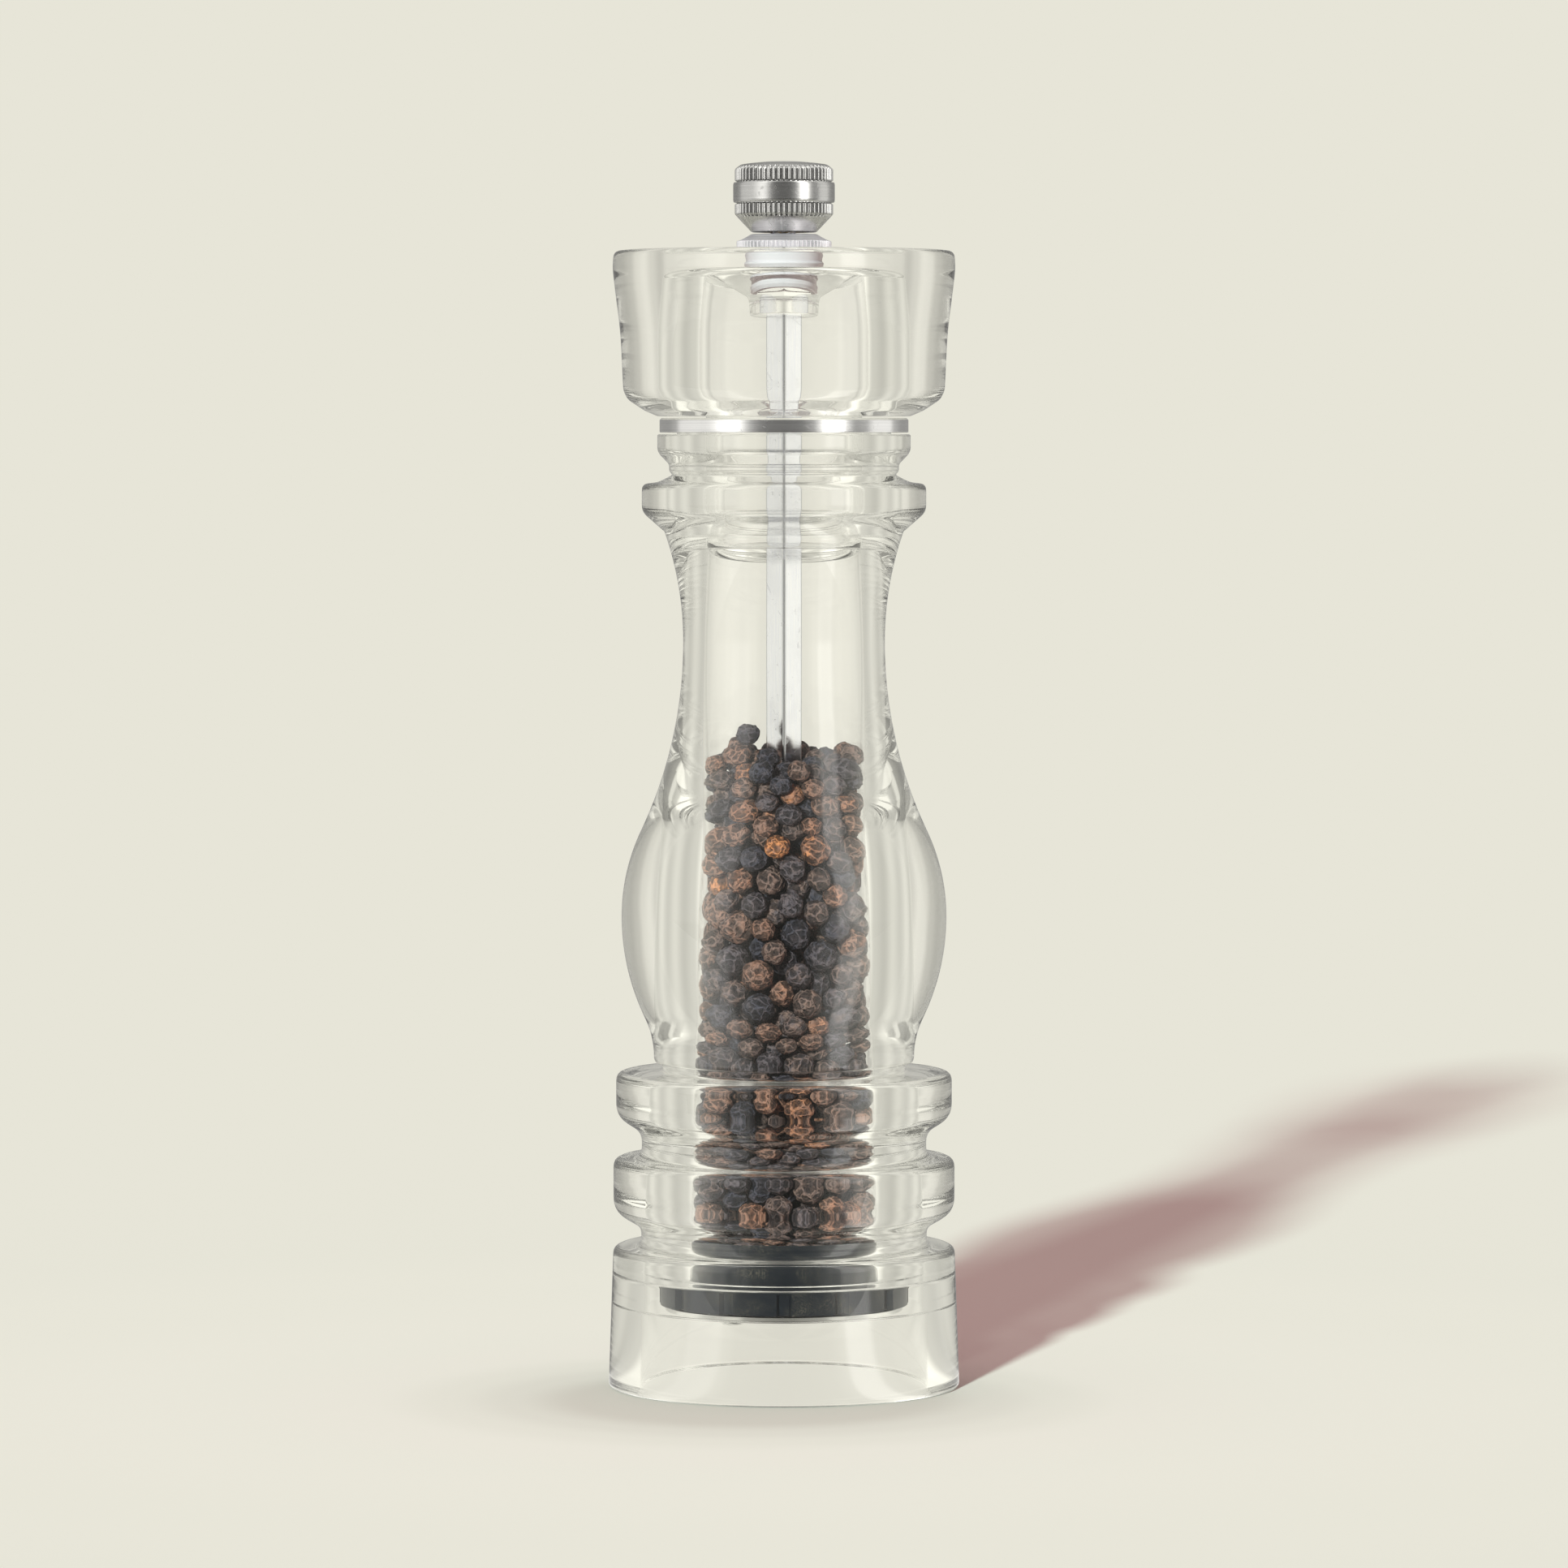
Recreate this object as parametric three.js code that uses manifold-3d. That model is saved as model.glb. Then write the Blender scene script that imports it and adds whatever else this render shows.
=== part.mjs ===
// A clear acrylic pepper mill, 220 mm tall, as the separate pieces it comes apart into on a bench.
//
// Units are millimetres. +Z is up, and the origin is the centre of the foot, on the table.
// Turning the head turns the square shaft and the burr cone at its lower end. The knob on the
// threaded top of the shaft draws the cone up into the burr ring for a finer grind. A spring
// pushes the cone down again when the knob is loosened.

import * as THREE from "three";
import { mergeVertices } from "three/addons/utils/BufferGeometryUtils.js";
import Module from "manifold-3d";

const wasm = await Module();
wasm.setup();

// ---- driving dimensions ----

const TOTAL_HEIGHT = 220;
const REST_GAP = 0.3; // between faces that rest on each other
const ROUND_SIDES = 32; // facets round the large turned pieces
const SMALL_SIDES = 20; // facets round the small ones
const ARC_STEPS = 2; // curve divisions, doubled by three.js on an arc

// The turned body, from the table up.
const FOOT_RADIUS = 31.6;
const FOOT_TOP = 25.2;
const FOOT_TOP_RADIUS = 30.7;
const RECESS_RADIUS = 26; // the hollow under the foot, where the ground pepper falls
const RECESS_STEP_Z = 14.5;
const CEILING_Z = 20;
const GROOVE_RADIUS = 25.7; // the two grooves between foot and beads
const LOWER_BEAD = { radius: 30.7, bottom: 31.5, top: 41.1 };
const UPPER_BEAD = { radius: 30.2, bottom: 48.6, top: 56.6 };
const BEAD_FLARE = 2.8; // height of a bead's sloping underside
const WAIST_RADIUS = 21.8; // the narrow ring between upper bead and belly
const BELLY_FOOT = { radius: 23.4, z: 59.2 };
const BELLY = { radius: 29.2, z: 84.6, roundAbove: 36, roundBelow: 42 };
const NECK = { radius: 18.1, z: 134, roundAbove: 60 };
const NECK_BEAD = { radius: 25.5, bottom: 157.5, top: 162.3 };
const COLLAR_BEAD = { radius: 22.7, bottom: 168, top: 171.2 };
const SPIGOT = { radius: 19.2, top: 173.8 }; // carries the metal ring
const SOCKET = { radius: 14.3, floor: 151.7 }; // takes the head's plug
const CHAMBER = { topRadius: 13.85, bottomRadius: 17 }; // tapers, so that it leaves its mould

// The head.
const HEAD = { bottom: 174.4, top: 204, rimRadius: 30.7, sideRadius: 28.9, underRadius: 23 };
const HEAD_CAVITY = { bottomRadius: 15.2, topRadius: 14.7, wallTop: 200.3, bossTop: 197.3 };
const BOSS = { radius: 6.2, bottom: 192.5 };
const COLLAR_SEAT = { radius: 5, floor: 200.4 };
const PLUG = { outer: 14, inner: 12.2, bottom: 152, flangeRadius: 14.85, top: 178 };
const RING = { outer: 22.3, inner: 19.5, height: 2.6 };

// The square shaft and its threaded stud, which is left plain at its full diameter.
const SHAFT_SIDE = 4.76;
const SHAFT_FIT = 0.17; // running clearance on each flat
const SHAFT_BOTTOM = 17.3;
const SHAFT_SHOULDER = 202.4;
const STUD = { radius: 2.45, top: 215.4 };

// The collar and the knob.
const COLLAR = { radius: 8.5, topRadius: 5.9, bore: 3.7, spigotRadius: 4.55, top: 207 };
const KNOB = { radius: 8.8, neckRadius: 5.8, coneTop: 210, rimTop: 219, teeth: 36 };
const BAND = { radius: 9.1, bottom: 212.6, top: 216.2, seat: 8.4 };
const INSERT = { radius: 4.1, top: 214.6, bore: 2.7 };
const TOP_DISC = { radius: 5, thickness: 0.9 };

// The grinder.
const FLANGE = { radius: 22.5, bottom: 15.1, notches: 14, notchWidth: 2, notchDepth: 0.9 };
const TUBE = { outer: 16.55, inner: 13.9, top: 28, mouthRadius: 15.7 };
const LIP = { radius: 11.6, bottom: 23.9, top: 24.6 }; // the throat over the burrs
const HUB = { radius: 6.9, bottom: 26, top: 38.5, bore: 4.6, springBore: 5.75, step: 32 };
const ARM = { count: 4, halfWidth: 1.6, top: 28.6 };
const SLEEVE = { radius: 4.3, flangeRadius: 5.45, bottom: 30.8, top: 39.5, lipRadius: 4.75 };
const SPRING = { radius: 4.7, wire: 0.45, turns: 4, bottom: 26.05, top: 30.1 };
const SPRING_SEAT = { inner: 3.6, outer: 5.3, bottom: 24.9, top: 25.3 };
const BURR_RING = { outer: 13.6, top: 23.6, innerTop: 10.9, innerBottom: 12.2, teeth: 18 };
const BURR_CONE = { bottom: 15, top: 24.6, topRadius: 5.9, bottomRadius: 11.2, teeth: 12 };
const CONE_WASHER = { outer: 4.2, bottom: 16.4, top: 16.9 };
const CLAMP_PLATE = { outer: 21.5, inner: 12.7, bottom: 14, top: 14.8 };
const PLATE_SCREW = { circle: 17.6, head: 2, shank: 0.9, tip: 18.6, count: 3 };
const CONE_SCREW = { head: 2.6, shank: 1.2, seat: 16.1, tip: 24 };

// The pepper in the chamber.
const FILL = { bottom: 28.9, top: 115, clearance: 0.4, bore: 4.1 };

// ---- finishes ----

const finish = (color, roughness, metalness, extra = {}) =>
  new THREE.MeshStandardMaterial({ color, roughness, metalness, ...extra });
const ACRYLIC = finish(0xf2f4ee, 0.03, 0, { transparent: true, opacity: 0.3 });
const POLISHED_STEEL = finish(0xc9c9c8, 0.22, 1);
const SATIN_METAL = finish(0xcfcfcd, 0.35, 1);
const SATIN_ALUMINIUM = finish(0xd6d6d8, 0.4, 1);
const BRASS = finish(0xc2a15a, 0.35, 1);
const BLACK_PLASTIC = finish(0x1b1e20, 0.45, 0);
const WHITE_PLASTIC = finish(0xe8e8e2, 0.5, 0);
const BURR_STEEL = finish(0x55565a, 0.4, 1);
const PEPPER = finish(0x3a2b22, 0.85, 0);

// ---- helpers ----

// A manifold-3d solid from a closed three.js geometry.
function solid(geometry) {
  const bare = geometry.index ? geometry.toNonIndexed() : geometry.clone();
  bare.deleteAttribute("normal");
  bare.deleteAttribute("uv");
  const merged = mergeVertices(bare, 1e-4);
  return new wasm.Manifold(
    new wasm.Mesh({
      numProp: 3,
      vertProperties: merged.attributes.position.array,
      triVerts: new Uint32Array(merged.index.array),
    }),
  );
}

// A three.js geometry from a manifold-3d solid.
function geometryOf(body) {
  const mesh = body.getMesh();
  return new THREE.BufferGeometry()
    .setAttribute("position", new THREE.BufferAttribute(mesh.vertProperties, 3))
    .setIndex(new THREE.BufferAttribute(mesh.triVerts, 1));
}

// A closed outline of [radius, z] pairs turned about the Z axis.
function turned(outline, sides = ROUND_SIDES) {
  const points = outline.map(([r, z]) => new THREE.Vector2(r, z));
  const [first, last] = [points[0], points.at(-1)];
  if (first.x > 0 || last.x > 0) points.push(first.clone());
  return new THREE.LatheGeometry(points, sides).rotateX(Math.PI / 2);
}

const ring = (inner, outer, bottom, top, sides) =>
  turned([[inner, bottom], [outer, bottom], [outer, top], [inner, top]], sides);

const rod = (radius, bottom, top, sides = SMALL_SIDES) =>
  turned([[0, bottom], [radius, bottom], [radius, top], [0, top]], sides);

// A box by its limits on each axis.
function block([x0, x1], [y0, y1], [z0, z1]) {
  const box = new THREE.BoxGeometry(x1 - x0, y1 - y0, z1 - z0);
  return box.translate((x0 + x1) / 2, (y0 + y1) / 2, (z0 + z1) / 2);
}

// A square bar on the Z axis, with its edges on the X and Y axes.
function squareBar(side, bottom, top) {
  const half = side / 2;
  return block([-half, half], [-half, half], [bottom, top]).rotateZ(Math.PI / 4);
}

// Points of an arc about (cx, cz), as [radius, z] pairs.
function arc(cx, cz, r, from, to) {
  const clockwise = to < from;
  const path = new THREE.Path().absarc(cx, cz, r, from, to, clockwise);
  return path.getPoints(ARC_STEPS).map((p) => [p.x, p.y]);
}

// The outline of a bead with a sloping underside, from the groove below it to its flat top.
function bead({ radius, bottom, top }, grooveBelow) {
  return [
    [grooveBelow, bottom - BEAD_FLARE],
    [radius - 0.4, bottom - 0.3],
    [radius, bottom + 0.5],
    [radius, top - 0.6],
    [radius - 0.6, top],
  ];
}

const group = new THREE.Group();

function add(name, geometry, material) {
  const mesh = new THREE.Mesh(geometry, material);
  mesh.name = name;
  group.add(mesh);
}

// Turns every second vertex column of a turned shape into a tooth tip, where isWall says so.
function toothed(geometry, teeth, depth, twistPerMm, isWall) {
  const place = geometry.attributes.position;
  for (let i = 0; i < place.count; i++) {
    const [x, y, z] = [place.getX(i), place.getY(i), place.getZ(i)];
    const radius = Math.hypot(x, y);
    if (!isWall(radius, z)) continue;
    const angle = Math.atan2(y, x);
    const wave = Math.cos(teeth * angle);
    const grown = radius + depth * wave;
    const turn = angle + twistPerMm * z;
    place.setXYZ(i, grown * Math.cos(turn), grown * Math.sin(turn), z);
  }
  return geometry;
}

// ---- the body ----

// The radius of the hollow arc that is narrowest at a given place and runs smoothly into the belly.
function hollowRadius({ radius, z }, bellyRound) {
  const side = radius - (BELLY.radius - bellyRound);
  const rise = z - BELLY.z;
  return (side ** 2 + rise ** 2 - bellyRound ** 2) / (2 * (bellyRound - side));
}

// The belly and neck are five arcs that run smoothly into each other.
function bellyAndNeck() {
  const footRound = hollowRadius(BELLY_FOOT, BELLY.roundBelow);
  const bellyBelow = [BELLY.radius - BELLY.roundBelow, BELLY.z];
  const footCentre = [BELLY_FOOT.radius + footRound, BELLY_FOOT.z];
  const lowTilt = Math.atan2(footCentre[1] - bellyBelow[1], footCentre[0] - bellyBelow[0]);
  const neckRound = hollowRadius(NECK, BELLY.roundAbove);
  const bellyAbove = [BELLY.radius - BELLY.roundAbove, BELLY.z];
  const neckBelow = [NECK.radius + neckRound, NECK.z];
  const highTilt = Math.atan2(neckBelow[1] - bellyAbove[1], neckBelow[0] - bellyAbove[0]);
  const neckAbove = [NECK.radius + NECK.roundAbove, NECK.z];
  const neckEnd = Math.asin((NECK_BEAD.bottom - BEAD_FLARE - NECK.z) / NECK.roundAbove);
  return [
    ...arc(...footCentre, footRound, Math.PI, Math.PI + lowTilt),
    ...arc(...bellyBelow, BELLY.roundBelow, lowTilt, 0).slice(1),
    ...arc(...bellyAbove, BELLY.roundAbove, 0, highTilt).slice(1),
    ...arc(...neckBelow, neckRound, Math.PI + highTilt, Math.PI).slice(1),
    ...arc(...neckAbove, NECK.roundAbove, Math.PI, Math.PI - neckEnd).slice(1),
  ];
}

function bodyShell() {
  const neckTopRadius = 21.9;
  const stepRadius = RECESS_RADIUS - 0.9;
  return turned([
    [RECESS_RADIUS, 0],
    [FOOT_RADIUS - 0.5, 0],
    [FOOT_RADIUS, 0.5],
    [FOOT_TOP_RADIUS, FOOT_TOP - 0.7],
    [FOOT_TOP_RADIUS - 0.6, FOOT_TOP],
    [GROOVE_RADIUS + 0.3, FOOT_TOP + 0.2],
    [GROOVE_RADIUS, FOOT_TOP + 0.7],
    ...bead(LOWER_BEAD, GROOVE_RADIUS),
    [GROOVE_RADIUS, LOWER_BEAD.top + 0.4],
    ...bead(UPPER_BEAD, GROOVE_RADIUS - 0.1),
    [WAIST_RADIUS, UPPER_BEAD.top + 0.2],
    [WAIST_RADIUS, BELLY_FOOT.z - 1.3],
    [BELLY_FOOT.radius - 0.3, BELLY_FOOT.z - 0.8],
    ...bellyAndNeck(),
    ...bead(NECK_BEAD, neckTopRadius).slice(1),
    [22.6, NECK_BEAD.top + 0.3],
    [20.6, NECK_BEAD.top + 1.1],
    [20, NECK_BEAD.top + 2],
    [20.6, NECK_BEAD.top + 2.3],
    [20.6, COLLAR_BEAD.bottom - 2.2],
    [COLLAR_BEAD.radius, COLLAR_BEAD.bottom],
    [COLLAR_BEAD.radius, COLLAR_BEAD.top - 0.4],
    [COLLAR_BEAD.radius - 0.4, COLLAR_BEAD.top],
    [SPIGOT.radius, COLLAR_BEAD.top],
    [SPIGOT.radius, SPIGOT.top],
    [SOCKET.radius, SPIGOT.top],
    [SOCKET.radius, SOCKET.floor],
    [CHAMBER.topRadius, SOCKET.floor],
    [CHAMBER.bottomRadius, CEILING_Z],
    [stepRadius, CEILING_Z],
    [stepRadius, RECESS_STEP_Z],
    [stepRadius + 0.6, RECESS_STEP_Z],
  ]);
}

const neckRing = () => {
  const bottom = COLLAR_BEAD.top + REST_GAP;
  const top = bottom + RING.height;
  const edge = 0.3;
  return turned([
    [RING.inner, bottom],
    [RING.outer - edge, bottom],
    [RING.outer, bottom + edge],
    [RING.outer, top - edge],
    [RING.outer - edge, top],
    [RING.inner, top],
  ]);
};

add("body_shell", bodyShell(), ACRYLIC);
add("neck_ring", neckRing(), POLISHED_STEEL);

// ---- the head ----

// A flared cap. Its hollow opens downwards, and a boss with a square hole hangs from its ceiling.
function headShell() {
  const holeSide = SHAFT_SIDE + 2 * SHAFT_FIT;
  const outside = turned([
    [0, BOSS.bottom],
    [BOSS.radius - 0.2, BOSS.bottom],
    [BOSS.radius + 0.2, HEAD_CAVITY.bossTop],
    [HEAD_CAVITY.topRadius - 1, HEAD_CAVITY.wallTop],
    [HEAD_CAVITY.topRadius, HEAD_CAVITY.wallTop - 1],
    [HEAD_CAVITY.bottomRadius, HEAD.bottom],
    [HEAD.underRadius - 0.4, HEAD.bottom],
    [HEAD.underRadius + 2, HEAD.bottom + 1],
    [HEAD.sideRadius - 0.9, HEAD.bottom + 3],
    [HEAD.sideRadius - 0.1, HEAD.bottom + 4.6],
    [HEAD.sideRadius + 0.4, HEAD.top - 14.5],
    [HEAD.rimRadius - 0.5, HEAD.top - 7.5],
    [HEAD.rimRadius, HEAD.top - 3.2],
    [HEAD.rimRadius - 0.1, HEAD.top - 1.7],
    [HEAD.rimRadius - 1.2, HEAD.top - 0.6],
    [HEAD.rimRadius - 2.6, HEAD.top],
    [0, HEAD.top],
  ]);
  const seat = rod(COLLAR_SEAT.radius, COLLAR_SEAT.floor, HEAD.top + 1);
  const hole = squareBar(holeSide, BOSS.bottom - 1, COLLAR_SEAT.floor + 1);
  return geometryOf(solid(outside).subtract(solid(seat)).subtract(solid(hole)));
}

// The clear tube that centres the head in the body's socket.
const headPlug = () =>
  turned([
    [PLUG.inner, PLUG.bottom],
    [PLUG.outer - 0.4, PLUG.bottom],
    [PLUG.outer, PLUG.bottom + 0.5],
    [PLUG.outer, HEAD.bottom],
    [PLUG.flangeRadius, HEAD.bottom],
    [PLUG.flangeRadius, PLUG.top],
    [PLUG.inner + 1.6, PLUG.top],
    [PLUG.inner + 0.3, PLUG.top - 1.2],
    [PLUG.inner, PLUG.top - 2.4],
  ]);

// The metal collar under the knob, with two barbs on the spigot that holds it in the head.
function headCollar() {
  const seatZ = HEAD.top + REST_GAP;
  const spigotBottom = COLLAR_SEAT.floor + REST_GAP;
  const barb = COLLAR.spigotRadius + 0.25;
  return turned(
    [
      [COLLAR.bore, spigotBottom],
      [COLLAR.spigotRadius - 0.3, spigotBottom],
      [barb, spigotBottom + 0.9],
      [COLLAR.spigotRadius, spigotBottom + 1],
      [barb, spigotBottom + 1.9],
      [COLLAR.spigotRadius, spigotBottom + 2],
      [COLLAR.spigotRadius, seatZ],
      [COLLAR.radius, seatZ],
      [COLLAR.radius, seatZ + 1.2],
      [COLLAR.radius - 0.9, seatZ + 1.4],
      [COLLAR.topRadius + 1.1, COLLAR.top - 0.8],
      [COLLAR.topRadius, COLLAR.top],
      [COLLAR.bore, COLLAR.top],
    ],
    SMALL_SIDES,
  );
}

add("head_shell", headShell(), ACRYLIC);
add("head_plug", headPlug(), ACRYLIC);
add("head_collar", headCollar(), SATIN_METAL);

// ---- the shaft ----

// A square bar with a round stud at the top and a hole for the cone's screw in its lower end.
function shaft() {
  const bar = squareBar(SHAFT_SIDE, SHAFT_BOTTOM, SHAFT_SHOULDER);
  const stud = turned(
    [
      [0, SHAFT_SHOULDER - 1],
      [STUD.radius, SHAFT_SHOULDER - 1],
      [STUD.radius, STUD.top - 0.6],
      [STUD.radius - 0.6, STUD.top],
      [0, STUD.top],
    ],
    SMALL_SIDES,
  );
  const hole = rod(CONE_SCREW.shank + 0.2, SHAFT_BOTTOM - 1, CONE_SCREW.tip + 1, 12);
  return geometryOf(solid(bar).add(solid(stud)).subtract(solid(hole)));
}

add("shaft", shaft(), SATIN_ALUMINIUM);

// ---- the knob ----

// Straight grooves round a rim, as an extruded star.
function knurledRim(bottom, top) {
  const depth = 0.3;
  const shape = new THREE.Shape(
    Array.from({ length: 2 * KNOB.teeth }, (_, i) => {
      const angle = (i * Math.PI) / KNOB.teeth;
      const radius = KNOB.radius - (i % 2) * depth;
      return new THREE.Vector2(radius * Math.cos(angle), radius * Math.sin(angle));
    }),
  );
  const rim = new THREE.ExtrudeGeometry(shape, { depth: top - bottom, bevelEnabled: false });
  return rim.translate(0, 0, bottom);
}

function knobBody() {
  const bottom = COLLAR.top + REST_GAP;
  const discSeat = TOTAL_HEIGHT - TOP_DISC.thickness - 0.3;
  const core = turned([
    [0, bottom],
    [KNOB.neckRadius, bottom],
    [KNOB.radius - 0.5, KNOB.coneTop],
    [BAND.seat, KNOB.coneTop + 0.2],
    [BAND.seat, KNOB.rimTop],
    [KNOB.radius - 1.3, TOTAL_HEIGHT - 0.5],
    [TOP_DISC.radius + 0.7, TOTAL_HEIGHT - 0.3],
    [0, TOTAL_HEIGHT - 0.3],
  ]);
  const lowerRim = knurledRim(KNOB.coneTop, BAND.bottom - 0.1);
  const upperRim = knurledRim(BAND.top + 0.1, KNOB.rimTop);
  const insertHole = rod(INSERT.radius + 0.15, bottom - 1, INSERT.top);
  const studHole = rod(INSERT.bore + 0.3, bottom, STUD.top + 1.2);
  const discHole = rod(TOP_DISC.radius + 0.15, discSeat, TOTAL_HEIGHT + 1, ROUND_SIDES);
  const whole = solid(core).add(solid(lowerRim)).add(solid(upperRim));
  return geometryOf(
    whole.subtract(solid(insertHole)).subtract(solid(studHole)).subtract(solid(discHole)),
  );
}

const knobBand = () =>
  turned([
    [BAND.seat + 0.15, BAND.bottom],
    [BAND.radius - 0.2, BAND.bottom],
    [BAND.radius, BAND.bottom + 0.3],
    [BAND.radius, BAND.top - 0.3],
    [BAND.radius - 0.2, BAND.top],
    [BAND.seat + 0.15, BAND.top],
  ]);

const knobTopDisc = () =>
  turned([
    [0, TOTAL_HEIGHT - TOP_DISC.thickness],
    [TOP_DISC.radius, TOTAL_HEIGHT - TOP_DISC.thickness],
    [TOP_DISC.radius, TOTAL_HEIGHT - 0.25],
    [TOP_DISC.radius * 0.6, TOTAL_HEIGHT - 0.08],
    [0, TOTAL_HEIGHT],
  ]);

const threadInsert = () =>
  ring(INSERT.bore, INSERT.radius, COLLAR.top + REST_GAP, INSERT.top - REST_GAP, SMALL_SIDES);

add("knob_body", knobBody(), SATIN_METAL);
add("knob_band", knobBand(), SATIN_METAL);
add("knob_top_disc", knobTopDisc(), POLISHED_STEEL);
add("knob_thread_insert", threadInsert(), BRASS);

// ---- the grinder ----

// A flanged tube that pushes into the body from below. Its funnel mouth feeds the burrs, and four
// arms hold the hub that guides the shaft and houses the spring.
function grinderHousing() {
  const flangeTop = CEILING_Z - REST_GAP;
  const tube = turned([
    [TUBE.inner, FLANGE.bottom],
    [FLANGE.radius, FLANGE.bottom],
    [FLANGE.radius, flangeTop],
    [TUBE.outer, flangeTop],
    [TUBE.outer, TUBE.top],
    [TUBE.mouthRadius, TUBE.top],
    [LIP.radius, LIP.top],
    [LIP.radius, LIP.bottom],
    [TUBE.inner, LIP.bottom],
  ]);
  let whole = solid(tube);
  for (let i = 0; i < ARM.count; i++) {
    const arm = block(
      [0, TUBE.mouthRadius + 0.3],
      [-ARM.halfWidth, ARM.halfWidth],
      [HUB.bottom, ARM.top],
    ).rotateZ(((i + 0.5) * 2 * Math.PI) / ARM.count);
    whole = whole.add(solid(arm));
  }
  const hub = turned(
    [
      [0, HUB.bottom],
      [HUB.radius, HUB.bottom],
      [HUB.radius, HUB.top - 2.4],
      [HUB.radius - 0.6, HUB.top - 0.8],
      [HUB.radius - 1.6, HUB.top],
      [0, HUB.top],
    ],
    SMALL_SIDES,
  );
  const guideBore = rod(HUB.bore, HUB.bottom - 1, HUB.top + 1);
  const springBore = rod(HUB.springBore, HUB.bottom - 1, HUB.step);
  whole = whole.add(solid(hub)).subtract(solid(guideBore)).subtract(solid(springBore));
  for (let i = 0; i < FLANGE.notches; i++) {
    const notch = block(
      [FLANGE.radius - FLANGE.notchDepth, FLANGE.radius + 1],
      [-FLANGE.notchWidth / 2, FLANGE.notchWidth / 2],
      [FLANGE.bottom - 1, flangeTop - 0.8],
    ).rotateZ(-Math.PI / 2 + (i * 2 * Math.PI) / FLANGE.notches);
    whole = whole.subtract(solid(notch));
  }
  for (const angle of plateScrewAngles()) {
    const pilot = rod(PLATE_SCREW.shank + 0.15, FLANGE.bottom - 1, PLATE_SCREW.tip + 0.4, 12)
      .translate(PLATE_SCREW.circle, 0, 0)
      .rotateZ(angle);
    whole = whole.subtract(solid(pilot));
  }
  return geometryOf(whole);
}

const plateScrewAngles = () =>
  Array.from({ length: PLATE_SCREW.count }, (_, i) => (i * 2 * Math.PI) / PLATE_SCREW.count);

// The round sleeve that turns in the hub, clipped over its top, and slides on the square shaft.
function driveSleeve() {
  const hubTop = HUB.top + REST_GAP;
  const outside = turned(
    [
      [0, SLEEVE.bottom],
      [SLEEVE.flangeRadius, SLEEVE.bottom],
      [SLEEVE.flangeRadius, HUB.step - REST_GAP],
      [SLEEVE.radius, HUB.step - REST_GAP],
      [SLEEVE.radius, hubTop],
      [SLEEVE.lipRadius, hubTop],
      [SLEEVE.radius - 0.3, SLEEVE.top],
      [0, SLEEVE.top],
    ],
    SMALL_SIDES,
  );
  const hole = squareBar(SHAFT_SIDE + 2 * SHAFT_FIT, SLEEVE.bottom - 1, SLEEVE.top + 1);
  return geometryOf(solid(outside).subtract(solid(hole)));
}

// The spring's wire runs up a helix round the shaft.
class SpringPath extends THREE.Curve {
  getPoint(t, target = new THREE.Vector3()) {
    const angle = t * SPRING.turns * 2 * Math.PI;
    const z = SPRING.bottom + t * (SPRING.top - SPRING.bottom);
    return target.set(SPRING.radius * Math.cos(angle), SPRING.radius * Math.sin(angle), z);
  }
}

function burrSpring() {
  const wire = new THREE.Shape(
    Array.from({ length: 6 }, (_, i) => {
      const angle = (i * Math.PI) / 3;
      return new THREE.Vector2(SPRING.wire * Math.cos(angle), SPRING.wire * Math.sin(angle));
    }),
  );
  const steps = Math.round(SPRING.turns * 14);
  return new THREE.ExtrudeGeometry(wire, { extrudePath: new SpringPath(), steps });
}

// The fixed ring: an outer wall and a toothed hole that widens downwards.
function burrRing() {
  const bore = [
    [BURR_RING.innerTop, BURR_RING.top],
    [(BURR_RING.innerTop + BURR_RING.innerBottom) / 2, (BURR_RING.top + FLANGE.bottom) / 2],
    [BURR_RING.innerBottom, FLANGE.bottom],
  ];
  const outline = [[BURR_RING.outer, FLANGE.bottom], [BURR_RING.outer, BURR_RING.top], ...bore];
  const shape = turned(outline, 2 * BURR_RING.teeth);
  return toothed(shape, BURR_RING.teeth, 0.3, 0, (r) => r < BURR_RING.outer - 0.6);
}

// The cone on the shaft's lower end, with helical teeth and a hollow underneath for its screw.
function burrCone() {
  const { bottom, top, topRadius, bottomRadius, teeth } = BURR_CONE;
  const shoulderZ = bottom + 2.2;
  const radii = [bottomRadius, bottomRadius - 0.5, 8.9, topRadius];
  const levels = [bottom, bottom + 1.6, bottom + 5.4, top];
  const flank = levels.map((z, i) => [radii[i], z]);
  const shape = turned([[0, bottom], ...flank, [0, top]], 4 * teeth);
  const teethed = toothed(shape, teeth, 0.3, 0.035, (r) => r > 1);
  const seat = rod(4.7, bottom - 1, shoulderZ);
  const hole = squareBar(SHAFT_SIDE + 2 * SHAFT_FIT, bottom, top + 1);
  return geometryOf(solid(teethed).subtract(solid(seat)).subtract(solid(hole)));
}

function clampPlate() {
  const { inner, outer, bottom, top } = CLAMP_PLATE;
  let plate = solid(ring(inner, outer, bottom, top));
  for (const angle of plateScrewAngles()) {
    const hole = rod(PLATE_SCREW.shank + 0.2, bottom - 1, top + 1, 12)
      .translate(PLATE_SCREW.circle, 0, 0)
      .rotateZ(angle);
    plate = plate.subtract(solid(hole));
  }
  return geometryOf(plate);
}

// A pan-head screw pointing up, its head's upper face at `seat`.
function panScrew(head, shank, seat, tip, height) {
  return turned(
    [
      [0, seat - height],
      [head * 0.7, seat - height],
      [head, seat - height * 0.5],
      [head, seat],
      [shank, seat],
      [shank, tip - 0.6],
      [shank * 0.4, tip],
      [0, tip],
    ],
    12,
  );
}

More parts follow.
